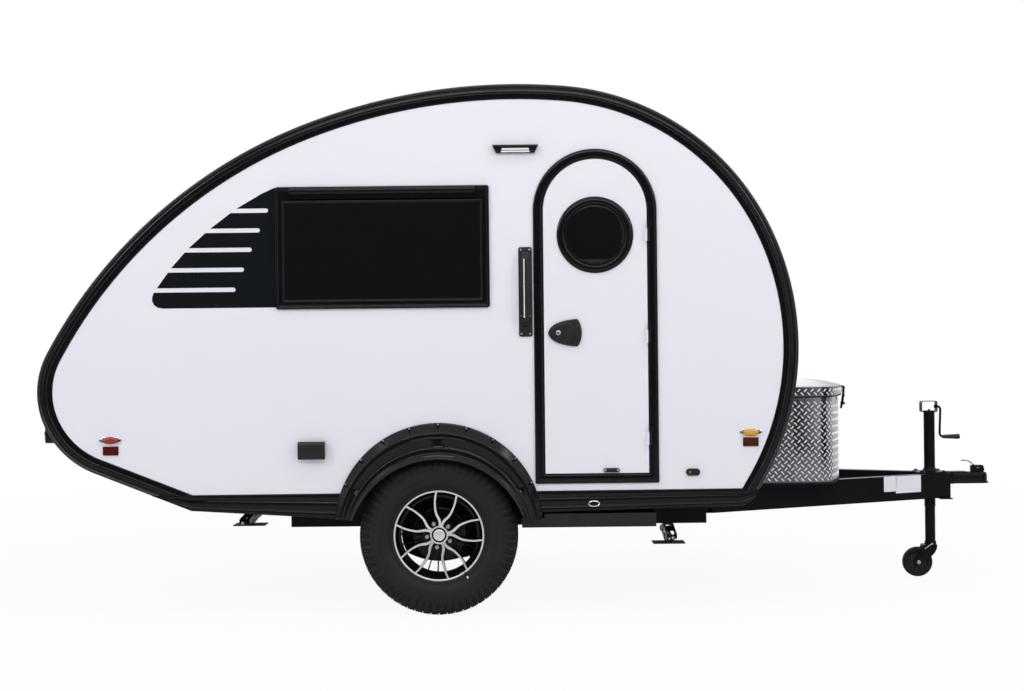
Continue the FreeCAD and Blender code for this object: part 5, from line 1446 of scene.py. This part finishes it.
def tubWing():
    # flat side plate from the body's curved front wall to the tub's rear corner
    z = np.linspace(wing["low"], wing["high"], 40)
    edge = wingEdge(z)
    y = -tub["half"] * mm
    lip = softBox((edge[0] + 0.002, y - 4.2 * mm, wing["low"]),
                  (wing["front"], y, wing["low"] + wing["lip"] * mm), 1 * mm)
    corners = [(wing["front"], wing["high"]), (wing["front"], wing["low"])]
    return slab(np.concatenate([np.stack([edge, z], -1), corners]),
                [(y + wing["thick"] * mm, 1), (y - 0.2 * mm, 1)]), lip


def treadBars(grow, low, high, start=0):
    # raised bars from the middle of one rear corner round the nose to the other, leaning by turns
    plan = tubPlan(grow, 4)
    rear = np.array([(wing["back"] * 1000, -tub["half"] - grow), (wing["back"] * 1000, tub["half"] + grow)])
    plan = np.concatenate([rear[:1], plan[:323], rear[1:]])
    length = distances(plan)
    columns = np.arange(9, length[-1] - 8, tub["pitch"][0])
    heights = np.arange(low, high, tub["pitch"][1] / 2)
    s, z = np.meshgrid(columns, heights, indexing="ij")
    k, row = np.meshgrid(np.arange(len(columns)), np.arange(len(heights)), indexing="ij")
    behind = wingEdge(z * mm) / mm + 11
    middle = length[-1] / 2
    kept = ((k + row) % 2 == 0) & (z > low + tub["clear"]) & (z < high - tub["clear"])
    kept &= middle - np.abs(s - middle) > np.maximum(behind, start) - rear[0, 0]
    s, z, lean = s[kept], z[kept], np.where(k[kept] % 2 == 0, 1, -1)
    x, y = [np.interp(s, length, plan[:, axis]) for axis in (0, 1)]
    ahead, behind = [np.stack([np.interp(s + step, length, plan[:, axis]) for axis in (0, 1)], -1)
                     for step in (1, -1)]
    dx, dy = unit(ahead - behind).T
    halfLong, halfWide, tall = tub["bar"]
    foot = np.array(tub["barFoot"])
    local = np.concatenate([foot, foot * tub["barRidge"]]) * [halfLong, halfWide]
    lift = np.repeat([-0.6, tall], 6)
    across = (local[None, :, 0] - local[None, :, 1] * lean[:, None]) * 0.7071
    up = (local[None, :, 0] * lean[:, None] + local[None, :, 1]) * 0.7071
    points = np.stack([x[:, None] + across * dx[:, None] + lift * dy[:, None],
                       y[:, None] + across * dy[:, None] - lift * dx[:, None], z[:, None] + up], -1)
    ring = np.arange(6)
    sides = np.stack([ring, (ring + 1) % 6, (ring + 1) % 6 + 6, ring + 6], -1)
    shift = (np.arange(len(s)) * 12)[:, None, None]
    return (points.reshape(-1, 3) * mm,
            [(sides[None] + shift).reshape(-1, 4), (ring[None, None] + 6 + shift).reshape(-1, 6),
             (ring[::-1][None, None] + shift).reshape(-1, 6)])


def hingeTubes(starts):
    x, z = np.array(tub["hinge"]) * mm
    shapes = []
    for k in starts:
        low, high = (k * 100 + 0.6) * mm, ((k + 2) * 100 - 0.6) * mm
        shapes.append(tube([(x, y, z) for y in (low, (low + high) / 2, high)], 4 * mm, 14))
    return shapes


def boltHead(x, y, z, direction, radius=7.0, tall=5.0):
    # hexagon head with a washer: prism along one axis
    direction, side, over = squareTo(direction, (0.3, 0.5, 0.81))
    spot, rings = np.array([x, y, z]), []
    for steps, rows in ((18, ((1.45, 0), (1.45, 0.32), (1.35, 0.4))),
                        (6, ((1, 0.3), (1, 0.85), (0.82, 1)))):
        flat = onCircle(fullTurn(steps)) @ np.stack([side, over])
        rings.append(skinOf([spot + (flat * radius * wide + direction * tall * up) * mm
                             for wide, up in rows]))
    return joined(rings)


tubShell, tubFoot = planRows(tub["shell"]), planRows(tub["foot"])
backEdge = softBox(*tub["backEdge"], 0.8 * mm)
wingPlate, wingLip = tubWing()
# the raised bars carry the near-white painted highlight
makePiece("tread_tub", [(treadPlate, [tubShell, backEdge] + bothSides([wingPlate])),
                        (treadRidgeHighlight, [treadBars(*tub["shellBars"])]),
                        (sealRubber, [tubFoot] + bothSides([wingLip])),
                        (zincSteel, hingeTubes((-5, -1, 3)))], "trailer", ["front_tub"])


# middle line (out from x, z), width at each height, and rolls (out, z, half length, radius)
strap = {
    "x": 1.521, "aside": -0.267,
    "path": [(0.001, 1.008), (0.008, 1.015), (0.0135, 1.008), (0.0125, 0.985), (0.010, 0.960),
             (0.006, 0.935), (0.001, 0.912), (-0.001, 0.902)], "section": (12, 4.6, 16, 4),
    "widths": ([0.90, 0.925, 0.94, 1.0, 1.015], [0.7, 1.0, 1.4, 1.0, 1.3]),
    "rolls": [(0.0085, 0.929, 28, 8), (0.0125, 0.969, 18, 5.4), (0.0125, 1.010, 20, 6.4)],
    # a roll's radius along its length, both in shares
    "rollAt": [-1, -0.93, -0.5, 0, 0.5, 0.93, 1], "rollSize": [0.6, 0.86, 0.94, 1, 0.94, 0.86, 0.6],
    "holder": ((-0.008, -0.024, 0.985), (0.004, 0.024, 1.010))}


def strapLatch():
    # moulded rubber strap over a hook, T grip below; one on each side of the nose
    s = strap
    path = smoothCurve(np.array(s["path"]) + [s["x"], 0], 40)
    section = ovalSection(*s["section"]) * mm
    band = sweptBand(path, section, np.interp(path[:, 1], *s["widths"]), s["aside"])
    rolls = [tube([(s["x"] + out, s["aside"] + y * mm, z) for y in np.array(s["rollAt"]) * half],
                  np.array(s["rollSize"]) * radius * mm, 16) for out, z, half, radius in s["rolls"]]
    low, high = np.array(s["holder"]) + [s["x"], s["aside"], 0]
    return bothSides([band] + rolls), bothSides([softBox(low, high, 1.2 * mm)])


strapRubber, strapHolder = strapLatch()
lidShell, lidCrown = planRows(tub["lid"], 1016), crownRows(*tub["crown"])
# the lid's bars carry the same near-white painted highlight
lidRim = [treadBars(*tub["lidBars"])]      # bars start clear of the hinge corner
gasket, lidBand = planRows(tub["gasket"], 1017), planRows(tub["lidBand"], 1017)
makePiece("tread_tub_lid", [(satinAluminium, [lidShell, lidCrown]), (treadPlate, [lidBand]),
                            (treadRidgeHighlight, lidRim), (sealRubber, [gasket] + strapRubber),
                            (zincSteel, hingeTubes((-3, 1)) + strapHolder)],
          "tub_lid", ["tub_lid"])
print("tub ready")


# Tongue jack: steel tube on a bolted plate, a strap over the gearbox, hand crank with a plastic grip

jack = {
    "x": 2.043,
    # turned parts (radius, z) in mm
    "tube": [(26.7, 370), (27.6, 369), (28.5, 370), (28.5, 866), (30.6, 866), (31.4, 867.6), (31.4, 872),
             (30.4, 874), (10, 874.6), (7, 876), (5, 881), (0, 882.5)],
    "bore": [(26.6, 370), (26.6, 619), (0, 619), (0, 613), (26.4, 613), (26.4, 370)],
    "collar": [(28.5, 556), (40, 556), (40.6, 557), (34, 566), (29.4, 575), (28.5, 577)],
    "plate": (0.150, 0.008), "deck": 0.547, "bolts": 0.058,
    "strap": (-45, 39, 866, 925), "strapHalf": 24, "strapWall": 3.2, "gripUp": 0.7355,
    "axle": [(2.070, 8), (2.072, 9), (2.08, 9), (2.0865, 9), (2.0885, 8)], "crankUp": 0.8955,
    "crank": [(2.070, 0.8955), (2.086, 0.8955), (2.096, 0.8925), (2.1015, 0.884), (2.1025, 0.872),
              (2.1, 0.81), (2.0985, 0.762), (2.0995, 0.749), (2.105, 0.7395), (2.114, 0.7355),
              (2.128, 0.7355)],
    # (radius in mm, x)
    "grip": [(0, 2.112), (7.4, 2.112), (9.2, 2.113), (9.6, 2.118), (11.6, 2.160), (13.4, 2.192),
             (13.6, 2.1975), (12, 2.2015), (8.5, 2.203), (0, 2.203)]}


def jackShapes():
    j = jack
    turned = turnedAbout((j["x"], 0, 0), 40, "z")
    side, thick = j["plate"]
    half, top = side / 2, j["deck"] + thick
    deck = softBox((j["x"] - half, -half, j["deck"]), (j["x"] + half, half, top), 1.6 * mm, 14 * mm)
    steel = [turned(j["tube"]), turned(j["bore"]), turned(j["collar"]), deck]
    steel += [boltHead(j["x"] + dx, dy, top, (0, 0, 1), 7.6, 7)
              for dx in (-j["bolts"], j["bolts"]) for dy in (-j["bolts"], j["bolts"])]
    west, east, foot, head = j["strap"]
    half, wall = j["strapHalf"], j["strapWall"]
    x, z = j["x"] + (west + east) / 2 * mm, (foot + head) / 2 * mm
    loop = plate((east - west) * mm, (head - foot) * mm, 0.008,
                 [(0.6, -half), (0, 0.6 - half), (0, half - 0.6), (0.6, half), (wall, half), (wall, -half)],
                 lambda flat, out: gridOf(x + flat[..., 0], out, z + flat[..., 1]), 5, build=framed)
    reach, radius = np.array(j["axle"]).T
    axle = tube(gridOf(reach, 0, j["crankUp"]), radius * mm, 16)
    path = smoothCurve(j["crank"], 60)
    rod = tube(gridOf(path[:, 0], 0, path[:, 1]), 6 * mm, 16)
    grip = lathe(np.array(j["grip"]) * [mm, 1], (0, 0, j["gripUp"]), 32, False, "x")
    return steel + [loop, axle], rod, grip


jackSteel, crankRod, crankGrip = jackShapes()
makePiece("jack_set", [(powderCoat, jackSteel)], "trailer", ["jack_tube"])
makePiece("crank_set", [(powderCoat, [crankRod]), (grainedAbs, [crankGrip])], "trailer",
          ["jack_crank"])


# Coupler: pressed steel channel over the ball, latch tower and bent lever

hitch = {
    "rear": 2137, "shoulder": 2232, "ball": 2305, "noseRadius": 46,
    # shell section, (inset from the plan, z) in mm
    "shell": [(9, 538), (9, 494), (8, 491), (1, 491), (0, 492), (0, 497), (1, 498.6), (6, 500), (7, 502),
              (7, 533), (9, 541), (13, 546.4), (19, 549)],
    # rounded boxes: low corner, high corner, edge and corner radius in mm
    "boxes": [((2.262, -0.0135, 0.546), (2.322, 0.0135, 0.560), 2, 5),
              ((2.143, -0.030, 0.543), (2.236, 0.030, 0.5525), 3, 8),
              ((2.070, -0.112, 0.4155), (2.134, 0.112, 0.4205), 1.2, 3)],
    # rollers between the tower's cheeks: x, z, radius in mm, half length, sides; the last is the pin
    "rolls": [(2.277, 0.572, 8.5, 0.010, 18), (2.319, 0.562, 11, 0.010, 18),
              (2.292, 0.572, 3.6, 0.0175, 14)],
    "lever": [(2.302, 0.571), (2.292, 0.5765), (2.281, 0.5815), (2.268, 0.591), (2.254, 0.602),
              (2.240, 0.6075), (2.225, 0.6095), (2.212, 0.6085)], "leverSection": (14, 2.2, 20, 5),
    "leverWidths": ([2.212, 2.23, 2.27, 2.302], [1.0, 0.95, 0.6, 0.6]),
    # the latch tower's cheeks: from x and z, to x and z, off the middle, half thickness
    "towerCheek": (2.260, 0.545, 2.325, 0.584, 0.011, 0.003), "cheekFaces": (0.036, 0.0395),
    # plates that carry the channel back over the rails' ends, with a sloping lower edge
    "cheek": [(1.996, 0.5465), (2.004, 0.5505), (2.150, 0.5505), (2.160, 0.545), (2.160, 0.489),
              (2.092, 0.489), (2.050, 0.505)]}


def hitchPlan(inset):
    # rectangle closed by a half circle round the ball, in mm
    turn = np.radians(np.linspace(-90, 90, 25))
    reach = hitch["noseRadius"] - inset
    nose = [hitch["ball"], 0] + reach * onCircle(turn)
    rear, front = hitch["rear"] + inset * 0.4, hitch["shoulder"]
    return np.concatenate([[(front, -reach)], nose, [(front, reach), (rear, reach), (rear, -reach)]])


def hitchShapes():
    h = hitch
    steel = [skinOf([gridOf(*hitchPlan(inset).T, z) * mm for inset, z in h["shell"]])]
    steel += [softBox(low, high, edge * mm, corner * mm) for low, high, edge, corner in h["boxes"]]
    rear, low, front, high, aside, half = h["towerCheek"]
    for side in (-1, 1):
        steel.append(softBox((rear, side * aside - half, low), (front, side * aside + half, high), 1.6 * mm,
                             6 * mm, 1))
        steel.append(slab(h["cheek"], [(y, 1) for y in sorted(side * face for face in h["cheekFaces"])]))
    path = smoothCurve(h["lever"], 44)
    steel.append(sweptBand(path, ovalSection(*h["leverSection"]) * mm,
                           np.interp(path[:, 0], *h["leverWidths"])))
    rolls = [tube([(x, y, z) for y in (-half, 0, half)], radius * mm, sides)
             for x, z, radius, half, sides in h["rolls"]]
    return steel + rolls[:-1], rolls[-1:]


# blank plates (x, z, width, height) on the tongue's outer face, at that angle to the middle line
blanks = {"lean": 25, "places": [(1.779, 0.5085, 0.0815, 0.078), (1.8845, 0.5025, 0.163, 0.0875)],
          "rim": [(0, -0.5), (0, 0.8), (0.5, 1.3)]}


def railPlates():
    rail = nodes["tongue_rails"]
    points = np.empty(len(rail.data.vertices) * 3)
    rail.data.vertices.foreach_get("co", points)
    world = np.array(rail.matrix_world)
    points = points.reshape(-1, 3) @ world[:3, :3].T + world[:3, 3]
    lean = np.radians(blanks["lean"])
    along, outward = onCircle(np.array([lean, lean - quarterTurn]))
    face = outward * (points[:, :2] @ outward).max()
    shapes = []
    for x, z, width, height in blanks["places"]:
        start = face + along * (x - face[0]) / along[0]
        shapes.append(plate(width, height, 0.004, blanks["rim"], lambda flat, out: np.concatenate(
            [start + flat[..., :1] * along + out * outward, z + flat[..., 1:]], -1)))
    return shapes


hitchSteel, hitchPin = hitchShapes()
makePiece("coupler_set", [(powderCoat, hitchSteel), (zincSteel, hitchPin)], "trailer",
          ["coupler"])
makePiece("rail_plates", [(whiteSheet, railPlates())], "trailer")


# Swivel caster: forked crown with a spring pin, rubber tyre on a ribbed plastic hub

caster = {
    "x": 1.973, "z": 0.078, "crown": ((-0.045, -0.033, 0.1578), (0.030, 0.033, 0.1697)),
    "collar": [(27, 170), (29.4, 170), (30.2, 171), (30.2, 184), (29.4, 186), (27, 186)],
    # leg outline: (from the axle, up from it) round the axle, then (from the jack, z) above
    "legFoot": [(-0.019, 0), (-0.013, -0.0105), (0, -0.015), (0.013, -0.0105), (0.0195, 0.002)],
    "legTop": [(-0.006, 0.104), (0.016, 0.128), (0.027, 0.150), (0.027, 0.164), (-0.044, 0.164),
               (-0.047, 0.154)],
    "legs": (-0.033, 0.027), "legCuts": [(0, 0.985), (0.0012, 1), (0.0048, 1), (0.006, 0.985)],
    "axleHalf": 0.0385, "nutAside": 0.033,
    "pin": [(-0.0385, -0.0345, 0.149), (-0.019, -0.0362, 0.162), (0, -0.0365, 0.175)],
    "seat": [(-0.032, 6), (-0.0355, 6), (-0.0395, 4.6)], "seatUp": 0.1745,
    # half of the tyre's and the hub's section (radius, across), closed by its mirror image
    "tyre": [(50, -17), (62, -20.5), (70, -21), (74, -18.5), (76.6, -14), (77.9, -7)],
    "hub": [(8.4, -21.5), (16, -21.5), (17.5, -20), (18, -9), (47, -9), (49, -16), (52, -17.4)],
    # ribs: (distance, half thickness), first angle, how many, half width
    "ribs": [(16, 3.4), (32, 2.6), (49, 3.2)], "ribTurn": 22, "ribCount": 8, "ribHalf": 17}


def casterShapes():
    c = caster
    x, z, jackX = c["x"], c["z"], jack["x"]
    centre, fromJack = np.array([x, 0, z]), np.array([jackX, 0, 0])
    low, high = np.array(c["crown"]) + fromJack
    steel = [softBox(low, high, 2 * mm, 10 * mm), turnedAbout(fromJack, 40, "z")(c["collar"], True)]
    outline = np.concatenate([np.array(c["legTop"])[-2:] + [jackX, 0], np.array(c["legFoot"]) + [x, z],
                              np.array(c["legTop"])[:-2] + [jackX, 0]])
    steel += [slab(outline, [(y + out, share) for out, share in c["legCuts"]]) for y in c["legs"]]
    zinc = [tube([(x, y, z) for y in (-c["axleHalf"], 0, c["axleHalf"])], 6 * mm, 16)]
    zinc += [boltHead(x, side * c["nutAside"], z, (0, side, 0), 7, 5.6) for side in (-1, 1)]
    zinc.append(tube(np.array(c["pin"]) + fromJack, 3.2 * mm, 10))
    across, radius = np.array(c["seat"]).T
    zinc.append(tube([(jackX, y, c["seatUp"]) for y in across], radius * mm, 14))
    turned = turnedAbout(centre, 64)
    tyre, hub = [turned(c[name] + [(r, -y) for r, y in c[name][::-1]], True) for name in ("tyre", "hub")]
    half = c["ribHalf"]
    ribs = [radialRib(centre, np.radians(c["ribTurn"] + 360 / c["ribCount"] * k),
                      [(reach, [(-thick, -half), (thick, -half), (thick, half), (-thick, half)])
                       for reach, thick in c["ribs"]]) for k in range(c["ribCount"])]
    return steel, zinc, tyre, [hub] + ribs


forkSteel, forkZinc, casterTyre, casterHub = casterShapes()
makePiece("fork_set", [(powderCoat, forkSteel), (zincSteel, forkZinc)], "caster_fork",
          ["caster_fork"])
makePiece("caster_set", [(sealRubber, [casterTyre]), (grainedAbs, casterHub)], "caster_wheel",
          ["caster_wheel"])
print("tongue ready")


# Studio: a pale floor that keeps the shadow, matt black cards, soft lamps, and the camera

studio = {
    "floorHalf": 60.0, "floor": (0.86, 0.86, 0.87, 1), "glow": 0.93, "fadeFrom": 3.2, "fadeTo": 7.5,
    "skyOnObject": 0.5,
    # cards behind and beside the camera, which upright glossy faces show: ends and height
    "cards": [((-7.0, -9.4), (3.1, -9.4), 6.0), ((4.75, -4.35), (6.3, -1.4), 2.6)],
    "lens": 53.26, "camera": (-0.155, -8.0, 1.24), "roll": 0.6,
    # name, place, aim, size, watts
    "lamps": [("overheadStrip", (0.2, -2.4, 5.6), (0, -0.6, 0.8), (6.5, 0.6), 56),
              ("rearSideStrip", (-4.6, -4.2, 4.2), (-0.6, -1, 1.0), (0.5, 2.2), 62),
              ("frontSideStrip", (4.4, -4.2, 4.2), (0.4, -1, 1.0), (0.5, 2.2), 62),
              ("cameraFill", (0.0, -8.6, 5.6), (0, -1, 0.7), (7.0, 1.0), 148),
              ("rearFill", (0.5, 7.0, 4.2), (0, 0.9, 1.0), (5.0, 2.5), 170)]}


def stagePiece(name, quads, finishName, colour):
    # quads of the studio itself, in one matt colour
    mesh = bpy.data.meshes.new(name)
    mesh.from_pydata([point for quad in quads for point in quad], [],
                     [range(4 * k, 4 * k + 4) for k in range(len(quads))])
    piece = inScene(name, mesh)
    material, tree = emptyFinish(finishName)
    mesh.materials.append(material)
    return piece, tree, addNode(tree, "BsdfDiffuse", {"Color": colour})


def buildCards():
    quads = [[(x0, y0, tall), (x1, y1, tall), (x1, y1, 0.0), (x0, y0, 0.0)]
             for (x0, y0), (x1, y1), tall in studio["cards"]]
    cards, tree, cloth = stagePiece("studioCards", quads, "blackStudioCloth", (0.01, 0.01, 0.01, 1))
    cards.visible_camera = cards.visible_diffuse = cards.visible_shadow = False
    addNode(tree, "OutputMaterial", links={"Surface": cloth.outputs[0]})


def buildFloor():
    # matt emulsion, pure white beyond the fade
    half = studio["floorHalf"]
    corners = [(-half, -half, 0), (half, -half, 0), (half, half, 0), (-half, half, 0)]
    tree, paint = stagePiece("studioFloor", [corners], "paintedStudioFloor", studio["floor"])[1:]
    glow = addNode(tree, "Emission", {"Color": (1, 1, 1, 1), "Strength": 1.0})
    rays = addNode(tree, "LightPath")
    place = addNode(tree, "TexCoord").outputs["Object"]
    away = addNode(tree, "VectorMath", {"operation": "LENGTH"}, {0: place})
    fade = addNode(tree, "MapRange", {"From Min": studio["fadeFrom"], "From Max": studio["fadeTo"],
                                                "To Min": studio["glow"]}, {"Value": away.outputs["Value"]})
    seen = addNode(tree, "Math", {"operation": "MULTIPLY"},
                   {0: fade.outputs[0], 1: rays.outputs["Is Camera Ray"]})
    mix = addNode(tree, "MixShader", links={0: seen.outputs[0], 1: paint.outputs[0],
                                                      2: glow.outputs[0]})
    addNode(tree, "OutputMaterial", links={"Surface": mix.outputs[0]})


def buildSky():
    world = bpy.data.worlds.new("studioWalls")
    bpy.context.scene.world = world
    world.use_nodes = True
    tree = world.node_tree
    tree.nodes.clear()
    rays = addNode(tree, "LightPath")
    seen = addNode(tree, "Math", {"operation": "ADD"},
                   {0: rays.outputs["Is Camera Ray"], 1: rays.outputs["Is Glossy Ray"]})
    through = addNode(tree, "Math", {"operation": "ADD", "use_clamp": True},
                      {0: seen.outputs[0], 1: rays.outputs["Is Transmission Ray"]})
    level = addNode(tree, "MapRange", {"To Min": studio["skyOnObject"], "To Max": 1.0},
                    {"Value": through.outputs[0]})
    sky = addNode(tree, "Background", {"Color": (1, 1, 1, 1)}, {"Strength": level.outputs[0]})
    addNode(tree, "OutputWorld", links={"Surface": sky.outputs[0]})


def buildLamps():
    for name, place, aim, size, watts in studio["lamps"]:
        light = bpy.data.lights.new(name, "AREA")
        light.shape = "RECTANGLE"
        light.size, light.size_y = size
        light.energy = watts
        lamp = inScene(name, light)
        lamp.location = place
        lamp.rotation_euler = (Vector(aim) - Vector(place)).to_track_quat("-Z", "Y").to_euler()


def buildCamera():
    camera = inScene("studioCamera", bpy.data.cameras.new("studioCamera"))
    camera.data.lens = studio["lens"]
    camera.data.sensor_width = 36
    camera.location = studio["camera"]
    camera.rotation_euler = (quarterTurn, np.radians(studio["roll"]), 0)
    bpy.context.scene.camera = camera


buildFloor()
buildCards()
buildSky()
buildLamps()
buildCamera()
bpy.context.scene.view_settings.view_transform = "Standard"
print("studio ready")
